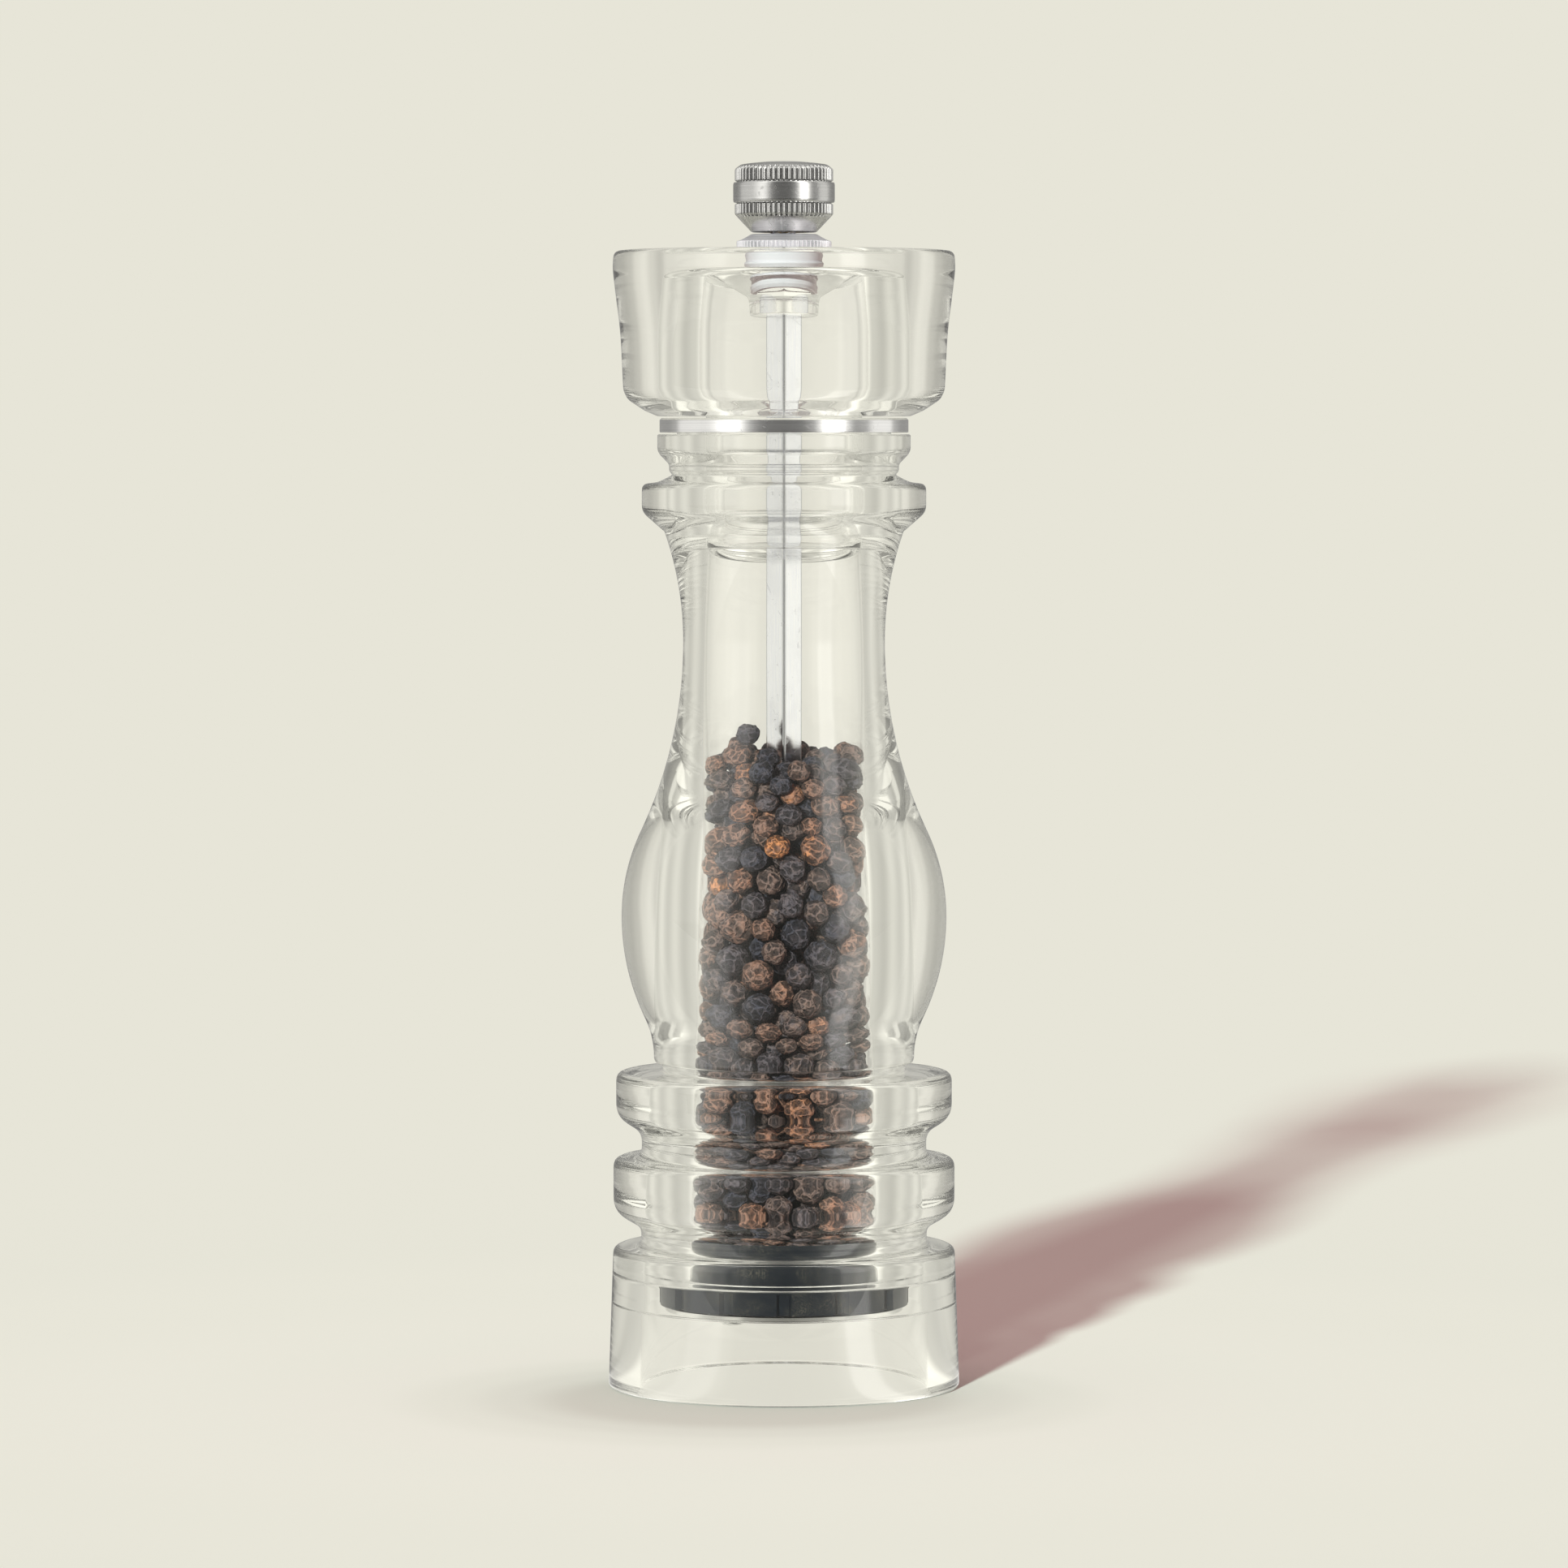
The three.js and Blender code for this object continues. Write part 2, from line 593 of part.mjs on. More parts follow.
const springSeat = () =>
  ring(SPRING_SEAT.inner, SPRING_SEAT.outer, SPRING_SEAT.bottom, SPRING_SEAT.top, SMALL_SIDES);

const coneWasher = () =>
  ring(CONE_SCREW.shank + 0.2, CONE_WASHER.outer, CONE_WASHER.bottom, CONE_WASHER.top, SMALL_SIDES);

const coneScrew = () =>
  panScrew(CONE_SCREW.head, CONE_SCREW.shank, CONE_SCREW.seat, CONE_SCREW.tip, 1.2);

add("grinder_housing", grinderHousing(), BLACK_PLASTIC);
add("drive_sleeve", driveSleeve(), WHITE_PLASTIC);
add("burr_spring", burrSpring(), SATIN_METAL);
add("burr_ring", burrRing(), BURR_STEEL);
add("burr_cone", burrCone(), BURR_STEEL);
add("burr_clamp_plate", clampPlate(), POLISHED_STEEL);
plateScrewAngles().forEach((angle, i) => {
  const { head, shank, tip, circle } = PLATE_SCREW;
  const screw = panScrew(head, shank, CLAMP_PLATE.bottom - REST_GAP, tip, 0.9);
  add(`plate_screw_${i + 1}`, screw.translate(circle, 0, 0).rotateZ(angle), POLISHED_STEEL);
});
add("spring_seat", springSeat(), POLISHED_STEEL);
add("cone_washer", coneWasher(), POLISHED_STEEL);
add("cone_screw", coneScrew(), SATIN_METAL);

// ---- the pepper ----

// The peppercorns as one mass: the chamber's shape, less the shaft and the hub.
function pepperFill() {
  const wall = (z) => {
    const share = (SOCKET.floor - z) / (SOCKET.floor - CEILING_Z);
    const radius = CHAMBER.topRadius + share * (CHAMBER.bottomRadius - CHAMBER.topRadius);
    return radius - FILL.clearance;
  };
  const { bottom, top, bore } = FILL;
  const hubWall = HUB.radius + FILL.clearance;
  const overHub = SLEEVE.top + FILL.clearance;
  return turned(
    [
      [hubWall, bottom],
      [wall(bottom), bottom],
      [wall(top), top],
      [bore, top],
      [bore, overHub],
      [hubWall, overHub],
    ],
    24,
  );
}

add("peppercorns", pepperFill(), PEPPER);

export default group;
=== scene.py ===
# %% [markdown]
# # A clear acrylic pepper mill, piece by piece
#
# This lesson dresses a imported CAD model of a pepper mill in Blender. The mill is 220 mm tall. Its body
# and head are turned from clear acrylic, and through them one sees a square metal shaft, a load of
# black peppercorns and a dark plastic grinder housing. A fluted metal knob on top sets the grind.
#
# The CAD model says where every piece is and how it moves. Here each piece is made again at a finer
# level, with rounded edges, flutes, threads and teeth, and is given a finish made of shader nodes.
# Everything is in metres, in the frame of the CAD model: +Z is up and the mill stands at the origin.

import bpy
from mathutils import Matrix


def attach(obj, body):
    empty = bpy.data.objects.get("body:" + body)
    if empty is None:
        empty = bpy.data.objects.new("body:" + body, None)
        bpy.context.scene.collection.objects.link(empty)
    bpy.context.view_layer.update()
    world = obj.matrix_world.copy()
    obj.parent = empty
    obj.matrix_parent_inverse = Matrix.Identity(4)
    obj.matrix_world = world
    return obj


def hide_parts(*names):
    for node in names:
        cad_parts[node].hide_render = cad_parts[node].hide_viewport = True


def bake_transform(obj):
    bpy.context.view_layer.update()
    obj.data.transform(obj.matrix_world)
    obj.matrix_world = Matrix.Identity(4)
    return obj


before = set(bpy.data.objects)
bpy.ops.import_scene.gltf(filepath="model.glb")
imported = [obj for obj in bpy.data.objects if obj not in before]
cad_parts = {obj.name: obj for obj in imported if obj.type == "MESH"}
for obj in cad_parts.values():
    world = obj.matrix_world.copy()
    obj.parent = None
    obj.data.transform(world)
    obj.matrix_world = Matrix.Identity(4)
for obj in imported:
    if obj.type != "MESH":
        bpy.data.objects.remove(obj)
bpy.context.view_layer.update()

# %% Tools
import math

import bpy
import numpy as np
from mathutils import Vector

MM = 0.001
scene = bpy.context.scene

# %% [markdown]
# ## The camera
#
# The mill is looked at from the front with a long lens, a little above its middle and tilted slightly
# down, as for a catalogue. A long lens from far away keeps the upright edges almost parallel. A short
# lens close by would make the foot look much smaller than the head, so 166 mm at 1.3 m is used.

# %% Camera
CAMERA_DISTANCE = 1.3
CAMERA_HEIGHT = 0.172
CAMERA_TILT = math.radians(2.8)

lens = bpy.data.cameras.new("camera")
lens.lens = 166.3
lens.sensor_width = 36
camera = bpy.data.objects.new("camera", lens)
camera.location = (0, -CAMERA_DISTANCE, CAMERA_HEIGHT)
camera.rotation_euler = (math.pi / 2 - CAMERA_TILT, 0, 0)
scene.collection.objects.link(camera)
scene.camera = camera
print("lens:", lens.lens, "mm at", CAMERA_DISTANCE, "m")

# %% [markdown]
# ## Writing node trees by hand
#
# Every finish and light below is a small tree of nodes. Placing a node, setting its options and
# plugging in its inputs always takes the same three moves, so one helper does all three. An input
# that is given as a socket is linked, and one that is given as a number or colour is typed in.

# %% A helper that places a node
def place(tree, kind, inputs=None, **options):
    """Adds a node of this kind to a tree, sets its options, and links or fills its inputs."""
    node = tree.nodes.new(kind)
    for name, value in options.items():
        setattr(node, name, value)
    for name, value in (inputs or {}).items():
        if isinstance(value, bpy.types.NodeSocket):
            tree.links.new(value, node.inputs[name])
        else:
            node.inputs[name].default_value = value
    return node


def maths(tree, operation, *values):
    """One Math node. Its result is a socket."""
    inputs = dict(enumerate(values))
    return place(tree, "ShaderNodeMath", inputs, operation=operation).outputs[0]


def spread(tree, value, low, high, to_low=0.0, to_high=1.0):
    """A value eased from the span low to high onto the span to_low to to_high."""
    inputs = {"Value": value, "From Min": low, "From Max": high, "To Min": to_low, "To Max": to_high}
    node = place(tree, "ShaderNodeMapRange", inputs, interpolation_type="SMOOTHSTEP")
    return node.outputs["Result"]


def blended(tree, factor, first, second):
    """The first colour where the factor is 0, and the second where it is 1."""
    node = place(tree, "ShaderNodeMix", {"Factor": factor}, data_type="RGBA")
    for index, colour in ((6, first), (7, second)):
        if isinstance(colour, bpy.types.NodeSocket):
            tree.links.new(colour, node.inputs[index])
        else:
            node.inputs[index].default_value = (*colour[:3], 1)
    return node.outputs[2]


def ramp(tree, share, stops):
    """A colour ramp. Each stop is a place from 0 to 1, and a brightness or a colour."""
    node = place(tree, "ShaderNodeValToRGB", {"Fac": share})
    node.color_ramp.interpolation = "EASE"
    elements = node.color_ramp.elements
    elements[0].position, elements[1].position = stops[0][0], stops[-1][0]
    inner_stops = [elements.new(stop[0]) for stop in stops[1:-1]]
    for element, (_, tint) in zip([elements[0], *inner_stops, elements[-1]], stops):
        element.color = (*tint, 1) if isinstance(tint, tuple) else (tint, tint, tint, 1)
    return node.outputs["Color"]


def scaled(tree, tint, level):
    """A colour made brighter or darker by a number."""
    node = place(tree, "ShaderNodeVectorMath", {0: tint, "Scale": level}, operation="SCALE")
    return node.outputs["Vector"]


# %% [markdown]
# ## The studio
#
# A clear object shows the room more than itself. What is wanted is a plain cream set, a low soft lamp
# at the front left that throws a long mauve shadow to the back right, and tall soft lights that draw
# upright highlights on the curved walls.
#
# The room could be built from real panels, but panels would be in the way when the mill is looked at
# from another side. So the room is painted on the world by direction. The world looks at the history
# of the ray that asks. A view ray sees the plain cream backdrop. What is mirrored on the outside sees
# the light panels. A view through the acrylic sees the backdrop with upright streaks at its sides,
# because thick walls bend the view far round. One that was also mirrored inside sees a milder set of
# panels. Matt surfaces get one mauve fill light.

# %% The colours of the set
BACKDROP = (0.799, 0.783, 0.686)
FILL_LIGHT = (0.47, 0.318, 0.325)
LAMP_HEIGHT = math.radians(18.4)
LAMP_COLOUR = np.array((4.75, 6.05, 5.7))
SHADOW_HEADING = math.atan2(0.287, 0.958)  # from straight back towards the right

scene.view_settings.view_transform = "Standard"
print("backdrop:", BACKDROP, "fill:", FILL_LIGHT)

# %% The light panels, by compass direction seen from the mill
# Degrees from the front, to the right, then brightness.
OUTER_PANELS = [
    (-180, 0.35), (-135, 0.35), (-120, 0.45), (-111, 0.9), (-76, 0.95), (-64, 1.3), (-59, 2.1),
    (-42, 2.1), (-36, 0.7), (-28, 0.32), (-18, 0.22), (0, 0.2), (16, 0.22), (26, 0.4), (36, 1.1),
    (41, 3.9), (53, 3.9), (59, 0.9), (70, 0.4), (84, 0.5), (90, 1.0), (116, 1.0), (124, 0.5),
    (140, 0.35), (180, 0.35),
]
INNER_PANELS = [
    (-180, 0.74), (-162, 0.6), (-145, 0.72), (-128, 0.55), (-112, 0.64), (-100, 0.98),
    (-80, 0.98), (-70, 0.55), (-58, 0.48), (-48, 0.8), (-40, 0.8), (-32, 0.36), (0, 0.22), (34, 0.36),
    (42, 0.8), (50, 0.8), (58, 0.55), (70, 0.65), (80, 1.14), (100, 1.14), (112, 0.64),
    (128, 0.55), (145, 0.72), (162, 0.6), (180, 0.74),
]
# How far to the side a ray leaves the acrylic, from 0 to 1, then brightness.
SIDES = [
    (0.0, 1.06), (0.25, 1.05), (0.38, 0.93), (0.5, 0.88), (0.555, 0.68), (0.61, 0.82), (0.67, 1.0),
    (0.73, 0.95), (0.8, 0.72), (0.88, 0.62), (0.96, 0.7), (1.0, 0.85),
]
BRIGHTEST_PANEL = 4.0
OUTER_WHITE = (1.0, 0.985, 0.94)
INNER_CREAM = (1.0, 0.985, 0.86)


def light_panels(tree, axes, panels, tint):
    """The colour of the studio in a direction: panels all round, and a soft ceiling."""
    towards_front = maths(tree, "MULTIPLY", axes["Y"], -1.0)
    compass = maths(tree, "ARCTAN2", axes["X"], towards_front)
    share = maths(tree, "MULTIPLY_ADD", compass, 1 / (2 * math.pi), 0.5)
    stops = [(degrees / 360 + 0.5, brightness / BRIGHTEST_PANEL) for degrees, brightness in panels]
    dimmed = ramp(tree, share, stops)
    level = maths(tree, "MULTIPLY", dimmed, BRIGHTEST_PANEL)
    ceiling = maths(tree, "MULTIPLY", spread(tree, axes["Z"], 0.5, 0.85), 0.25)
    return scaled(tree, tint, maths(tree, "ADD", level, ceiling))


# %% The world
world = bpy.data.worlds.new("light_tent")
scene.world = world
world.use_nodes = True
world.cycles.sampling_method = "NONE"
sky = world.node_tree
sky.nodes.clear()
direction = place(sky, "ShaderNodeTexCoord").outputs["Generated"]
axes = place(sky, "ShaderNodeSeparateXYZ", {"Vector": direction}).outputs
ray = place(sky, "ShaderNodeLightPath").outputs
sideways = maths(sky, "ABSOLUTE", axes["X"])
seen_through = scaled(sky, BACKDROP, ramp(sky, sideways, SIDES))
below_table = spread(sky, axes["Z"], -0.07, -0.015, 0.5, 1.0)
outer = scaled(sky, light_panels(sky, axes, OUTER_PANELS, OUTER_WHITE), below_table)
inner = light_panels(sky, axes, INNER_PANELS, INNER_CREAM)
was_mirrored = maths(sky, "GREATER_THAN", ray["Glossy Depth"], 0.5)
was_inside = maths(sky, "GREATER_THAN", ray["Transmission Depth"], 0.5)
outside_colour = blended(sky, was_mirrored, FILL_LIGHT, outer)
inside_colour = blended(sky, was_mirrored, seen_through, inner)
colour = blended(sky, was_inside, outside_colour, inside_colour)
colour = blended(sky, ray["Is Camera Ray"], colour, BACKDROP)
colour = blended(sky, maths(sky, "GREATER_THAN", ray["Diffuse Depth"], 0.5), colour, FILL_LIGHT)
backdrop = place(sky, "ShaderNodeBackground", {"Color": colour})
place(sky, "ShaderNodeOutputWorld", {"Surface": backdrop.outputs["Background"]})
print("world nodes:", len(sky.nodes))

# %% The low lamp at the front left
lamp = bpy.data.lights.new("low_lamp", "SUN")
lamp.energy = 1.0
lamp.color = LAMP_COLOUR
lamp.angle = math.radians(3.6)
lamp_object = bpy.data.objects.new("low_lamp", lamp)
lamp_object.rotation_euler = (math.pi / 2 - LAMP_HEIGHT, 0, -SHADOW_HEADING)
lamp_object.visible_glossy = False
lamp_object.visible_transmission = False
lamp_object.visible_camera = False
scene.collection.objects.link(lamp_object)
print("shadow length, mm:", round(220 / math.tan(LAMP_HEIGHT)))

# %% [markdown]
# ## The floor
#
# The floor is matt and has the backdrop's colour, so that no horizon shows. Its own colour is worked
# out backwards: what the lamp and the fill light give a matt surface, divided into the wanted colour.
# It starts just in front of the mill and runs far back, so the fronts of the pieces mirror the dark
# front of the room, as they would over the edge of a table.
#
# Close round the foot the paper is painted a little darker, a painted contact shadow, and just beyond it a
# little lighter, a painted pool of light, laid on the paper's colour by distance from a point near the
# foot. Seen through the acrylic the floor is an emission that glows evenly, and further off with the same
# painted streaks as the room, so the mill's own shadow doesn't muddy the foot. Mirrored, it glows with the
# painted light panels, which carries their highlights down the belly.

# %% Floor
FLOOR_FRONT = -0.22
FLOOR_REACH = 30.0
FLOOR_DROP = 0.0001  # below the foot, so that the two faces don't share a plane

lamp_share = LAMP_COLOUR * math.sin(LAMP_HEIGHT) / math.pi
floor_colour = np.array(BACKDROP) / (lamp_share + np.array(FILL_LIGHT))
floor_corners = [
    (-FLOOR_REACH, FLOOR_FRONT, 0),
    (FLOOR_REACH, FLOOR_FRONT, 0),
    (FLOOR_REACH, FLOOR_REACH, 0),
    (-FLOOR_REACH, FLOOR_REACH, 0),
]
floor_mesh = bpy.data.meshes.new("floor")
floor_mesh.from_pydata(floor_corners, [], [(0, 1, 2, 3)])
floor = bpy.data.objects.new("floor", floor_mesh)
floor.location.z = -FLOOR_DROP
scene.collection.objects.link(floor)
print("floor colour:", [round(float(c), 3) for c in floor_colour])

# %% The paper and its painted shade round the foot
SHADE_REACH = 0.25  # how far the contact shade goes, in metres
CONTACT_CENTRE = (0.006, 0.02, 0.0)
# Painted shade: the paper's colour is darker close round the foot and lighter just beyond, by distance.
PAINTED_CONTACT_SHADE = [
    (0.0, (0.84, 0.79, 0.79)), (0.12, (0.84, 0.79, 0.79)), (0.17, (0.96, 0.925, 0.93)),
    (0.215, (1.02, 0.99, 0.995)), (0.27, (1.06, 1.03, 1.04)), (0.4, (1.045, 1.03, 1.035)),
    (0.7, (1.02, 1.015, 1.015)), (1.0, (1.0, 1.0, 1.0)),
]

paper = bpy.data.materials.new("backdrop_paper")
paper.use_nodes = True
tree = paper.node_tree
tree.nodes.clear()
spot = place(tree, "ShaderNodeTexCoord").outputs["Object"]
near_foot = place(tree, "ShaderNodeVectorMath", {0: spot, 1: CONTACT_CENTRE}).outputs["Vector"]
away = place(tree, "ShaderNodeVectorMath", {0: near_foot}, operation="LENGTH").outputs["Value"]
shade = ramp(tree, maths(tree, "MULTIPLY", away, 1 / SHADE_REACH), PAINTED_CONTACT_SHADE)
inputs = {0: shade, 1: tuple(floor_colour)}
paper_colour = place(tree, "ShaderNodeVectorMath", inputs, operation="MULTIPLY").outputs["Vector"]
paper_face = place(tree, "ShaderNodeBsdfDiffuse", {"Color": paper_colour})
print("contact shade reaches, m:", SHADE_REACH)

# %% What the floor shows through the acrylic and in mirrors
CLEAN_FOOT = (0.96, 0.95, 0.95)
STREAKS_FROM, STREAKS_FULL = 0.08, 0.16

heading = place(tree, "ShaderNodeVectorMath", {0: spot}, operation="NORMALIZE").outputs["Vector"]
axes = place(tree, "ShaderNodeSeparateXYZ", {"Vector": heading}).outputs
ray = place(tree, "ShaderNodeLightPath").outputs
streaks = ramp(tree, maths(tree, "ABSOLUTE", axes["X"]), SIDES)
streaks = blended(tree, spread(tree, away, STREAKS_FROM, STREAKS_FULL), CLEAN_FOOT, streaks)
was_mirrored = maths(tree, "GREATER_THAN", ray["Glossy Depth"], 0.5)
inner = light_panels(tree, axes, INNER_PANELS, INNER_CREAM)
inside_glow = blended(tree, was_mirrored, scaled(tree, BACKDROP, streaks), inner)
looked_through = maths(tree, "GREATER_THAN", ray["Transmission Depth"], 0.5)
outside_glow = light_panels(tree, axes, OUTER_PANELS, OUTER_WHITE)
glow = blended(tree, looked_through, outside_glow, inside_glow)
# A painted glow: for rays through the acrylic and in mirrors the floor is an emission, with painted streaks
# and panels.
paper_glow = place(tree, "ShaderNodeEmission", {"Color": glow})
not_lighting = maths(tree, "LESS_THAN", ray["Diffuse Depth"], 0.5)
paper_mix = place(tree, "ShaderNodeMixShader", {
    0: maths(tree, "MULTIPLY", maths(tree, "MAXIMUM", looked_through, was_mirrored), not_lighting),
    1: paper_face.outputs["BSDF"],
    2: paper_glow.outputs["Emission"],
})
place(tree, "ShaderNodeOutputMaterial", {"Surface": paper_mix.outputs["Shader"]})
floor_mesh.materials.append(paper)
print("paper nodes:", len(tree.nodes))

# %% [markdown]
# ## Effects that several finishes share
#
# Real surfaces are never even. Turned metal keeps fine rings from the lathe, handled surfaces get
# smudges and hair scratches, corners are rubbed bright, and pepper leaves its dust. Each effect is
# made once, as a node group with named inputs and outputs, and every finish sets its own amounts.
# The patterns are laid out in the object's own coordinates, in metres, so their size is real.

# %% A helper that starts a node group
def new_group(name, inputs, outputs):
    """An empty shader group. Inputs are {name: default number} and outputs are names."""
    tree = bpy.data.node_groups.new(name, "ShaderNodeTree")
    for label, number in inputs.items():
        socket = tree.interface.new_socket(label, in_out="INPUT", socket_type="NodeSocketFloat")
        socket.default_value = number
    for label in outputs:
        tree.interface.new_socket(label, in_out="OUTPUT", socket_type="NodeSocketFloat")
    return tree, tree.nodes.new("NodeGroupInput").outputs, tree.nodes.new("NodeGroupOutput").inputs


def use_group(tree, group, **amounts):
    """Places a group in a material. An amount called rings_per_mm goes to the input Rings Per Mm."""
    inputs = {name.replace("_", " ").title(): value for name, value in amounts.items()}
    return place(tree, "ShaderNodeGroup", inputs, node_tree=group).outputs


# %% Turning marks
# The noise is read at (distance from the axis, height), and not at the point itself, so its spots
# are drawn out into rings round the axis. A little of the angle is let in to break the rings up.
amounts = {"Rings Per Mm": 6.0, "Wander": 0.15}
turning_marks, given, result = new_group("turning marks", amounts, ["Marks"])
spot = place(turning_marks, "ShaderNodeTexCoord").outputs["Object"]
axes = place(turning_marks, "ShaderNodeSeparateXYZ", {"Vector": spot}).outputs
reach = maths(turning_marks, "SQRT", maths(
    turning_marks, "ADD",
    maths(turning_marks, "MULTIPLY", axes["X"], axes["X"]),
    maths(turning_marks, "MULTIPLY", axes["Y"], axes["Y"]),
))
density = maths(turning_marks, "MULTIPLY", given["Rings Per Mm"], 1000.0)
turn = maths(turning_marks, "ARCTAN2", axes["Y"], axes["X"])
swing = maths(turning_marks, "MULTIPLY", turn, given["Wander"])
ring_place = place(turning_marks, "ShaderNodeCombineXYZ", {
    "X": maths(turning_marks, "MULTIPLY", reach, density),
    "Y": swing,
    "Z": maths(turning_marks, "MULTIPLY", axes["Z"], density),
}).outputs["Vector"]
ring_noise = place(turning_marks, "ShaderNodeTexNoise", {"Vector": ring_place, "Scale": 1.0, "Detail": 3.0})
turning_marks.links.new(ring_noise.outputs["Fac"], result["Marks"])
print("group:", turning_marks.name)

# %% Hair scratches
# Two layers of noise are squeezed along slanted axes until the spots become hairs, and only their
# highest parts are kept.
hair_scratches, given, result = new_group("hair scratches", {"Per Mm": 0.6, "Share": 0.5}, ["Scratches"])
spot = place(hair_scratches, "ShaderNodeTexCoord").outputs["Object"]
scale = maths(hair_scratches, "MULTIPLY", given["Per Mm"], 1000.0)
layers = []
for slant in ((0.5, 0.3, 0.9), (-0.8, 0.6, -0.4)):
    turned_spot = place(hair_scratches, "ShaderNodeVectorRotate", {"Vector": spot, "Rotation": slant},
                        rotation_type="EULER_XYZ").outputs["Vector"]
    squeezed = place(hair_scratches, "ShaderNodeVectorMath", {0: turned_spot, 1: (1.0, 1.0, 0.03)},
                     operation="MULTIPLY").outputs["Vector"]
    hairs = place(hair_scratches, "ShaderNodeTexNoise", {"Vector": squeezed, "Scale": scale, "Detail": 2.0})
    layers.append(spread(hair_scratches, hairs.outputs["Fac"], 0.66, 0.72))
both = maths(hair_scratches, "MAXIMUM", *layers)
hair_scratches.links.new(maths(hair_scratches, "MULTIPLY", both, given["Share"]), result["Scratches"])
print("group:", hair_scratches.name)

# %% Smudges
# Fingers leave soft patches a few millimetres across.
smudges, given, result = new_group("smudges", {"Per Mm": 0.09, "Share": 0.5}, ["Smudge"])
spot = place(smudges, "ShaderNodeTexCoord").outputs["Object"]
scale = maths(smudges, "MULTIPLY", given["Per Mm"], 1000.0)
inputs = {"Vector": spot, "Scale": scale, "Detail": 4.0, "Roughness": 0.6}
patches = place(smudges, "ShaderNodeTexNoise", inputs)
soft = spread(smudges, patches.outputs["Fac"], 0.4, 0.68)
smudges.links.new(maths(smudges, "MULTIPLY", soft, given["Share"]), result["Smudge"])
print("group:", smudges.name)

# %% Pepper dust
# Dust is fine grains where there is a thin drift of it, and more of it lies on faces that look up.
pepper_dust, given, result = new_group("pepper dust", {"Amount": 0.5, "Lying": 0.5}, ["Dust"])
spot = place(pepper_dust, "ShaderNodeTexCoord").outputs["Object"]
facing = place(pepper_dust, "ShaderNodeNewGeometry").outputs["Normal"]
upward = place(pepper_dust, "ShaderNodeSeparateXYZ", {"Vector": facing}).outputs["Z"]
lying = maths(pepper_dust, "MULTIPLY", spread(pepper_dust, upward, 0.2, 1.0), given["Lying"])
drifts = place(pepper_dust, "ShaderNodeTexNoise", {"Vector": spot, "Scale": 220.0, "Detail": 3.0})
grains = place(pepper_dust, "ShaderNodeTexNoise", {"Vector": spot, "Scale": 5200.0, "Detail": 2.0})
drift = maths(pepper_dust, "ADD", spread(pepper_dust, drifts.outputs["Fac"], 0.45, 0.75), lying)
grain = spread(pepper_dust, grains.outputs["Fac"], 0.5, 0.62)
dust = maths(pepper_dust, "MULTIPLY", maths(pepper_dust, "MULTIPLY", drift, grain), given["Amount"])
pepper_dust.links.new(maths(pepper_dust, "MINIMUM", dust, 1.0), result["Dust"])
print("group:", pepper_dust.name)

# %% Rubbed corners
# Pointiness is high where the surface is sharply convex. That is where handling wears a finish.
rubbed_corners, given, result = new_group("rubbed corners", {"Amount": 0.5}, ["Rubbed"])
spot = place(rubbed_corners, "ShaderNodeTexCoord").outputs["Object"]
sharpness = place(rubbed_corners, "ShaderNodeNewGeometry").outputs["Pointiness"]
chips = place(rubbed_corners, "ShaderNodeTexNoise", {"Vector": spot, "Scale": 900.0, "Detail": 3.0})
uneven = maths(rubbed_corners, "MULTIPLY_ADD", chips.outputs["Fac"], 0.06, -0.03)
corner = spread(rubbed_corners, maths(rubbed_corners, "ADD", sharpness, uneven), 0.53, 0.6)
rubbed_corners.links.new(maths(rubbed_corners, "MULTIPLY", corner, given["Amount"]), result["Rubbed"])
print("group:", rubbed_corners.name)

# %% [markdown]
# ## Clear acrylic
#
# Acrylic bends light a little less than window glass does: its index is 1.49. Polished, it is almost
# perfectly smooth, so only the faintest smudges and hair scratches roughen it.
#
# A shadow ray that meets real glass is stopped, because the renderer can't aim it at a lamp through a
# bend. So the lamp's light is let through straight, with a transparent shader that only shadow rays
# meet. Real acrylic focuses the light inside and leaves its shadow on the table dark. So a shadow ray
# that enters the outside of the mill, which comes from the table, is dimmed, and one from a
# peppercorn, which meets the wall of the chamber first, hardly at all. The dimming is strong at the
# foot and weak at the head, so the long shadow fades towards its far end.

# %% A helper that starts a finish
def new_finish(name):
    """A new material with its tree, its Principled shader and its output, not yet joined."""
    material = bpy.data.materials.new(name)
    material.use_nodes = True
    tree = material.node_tree
    tree.nodes.clear()
    shader = tree.nodes.new("ShaderNodeBsdfPrincipled")
    output = tree.nodes.new("ShaderNodeOutputMaterial")
    return material, tree, shader, output


def bump(tree, height, distance, strength=1.0):
    """A Bump node's normal, from a height map and its depth in metres."""
    inputs = {"Height": height, "Distance": distance, "Strength": strength}
    return place(tree, "ShaderNodeBump", inputs).outputs["Normal"]


# %% Clear acrylic
INSIDE_TINT = (0.97, 0.97, 0.97)
FULL_TINT_HEIGHT = 0.2
OUTSIDE_TINTS = [(0.0, (0.06, 0.05, 0.05)), (1.0, (0.74, 0.7, 0.7))]  # at the foot, at that height

acrylic, tree, shader, output = new_finish("clear_acrylic")
smudge = use_group(tree, smudges, per_mm=0.06, share=0.012)["Smudge"]
scratch = use_group(tree, hair_scratches, per_mm=0.5, share=0.03)["Scratches"]
shader.inputs["Base Color"].default_value = (0.998, 0.998, 0.996, 1)
shader.inputs["Transmission Weight"].default_value = 1.0
shader.inputs["IOR"].default_value = 1.49
tree.links.new(maths(tree, "ADD", smudge, scratch), shader.inputs["Roughness"])
spot = place(tree, "ShaderNodeTexCoord").outputs["Object"]
level_spot = place(tree, "ShaderNodeVectorMath", {0: spot, 1: (1.0, 1.0, 0.0)}, operation="MULTIPLY")
outwards = place(tree, "ShaderNodeVectorMath", {0: level_spot.outputs["Vector"]}, operation="NORMALIZE")
surface = place(tree, "ShaderNodeNewGeometry").outputs
inputs = {0: outwards.outputs["Vector"], 1: surface["Normal"]}
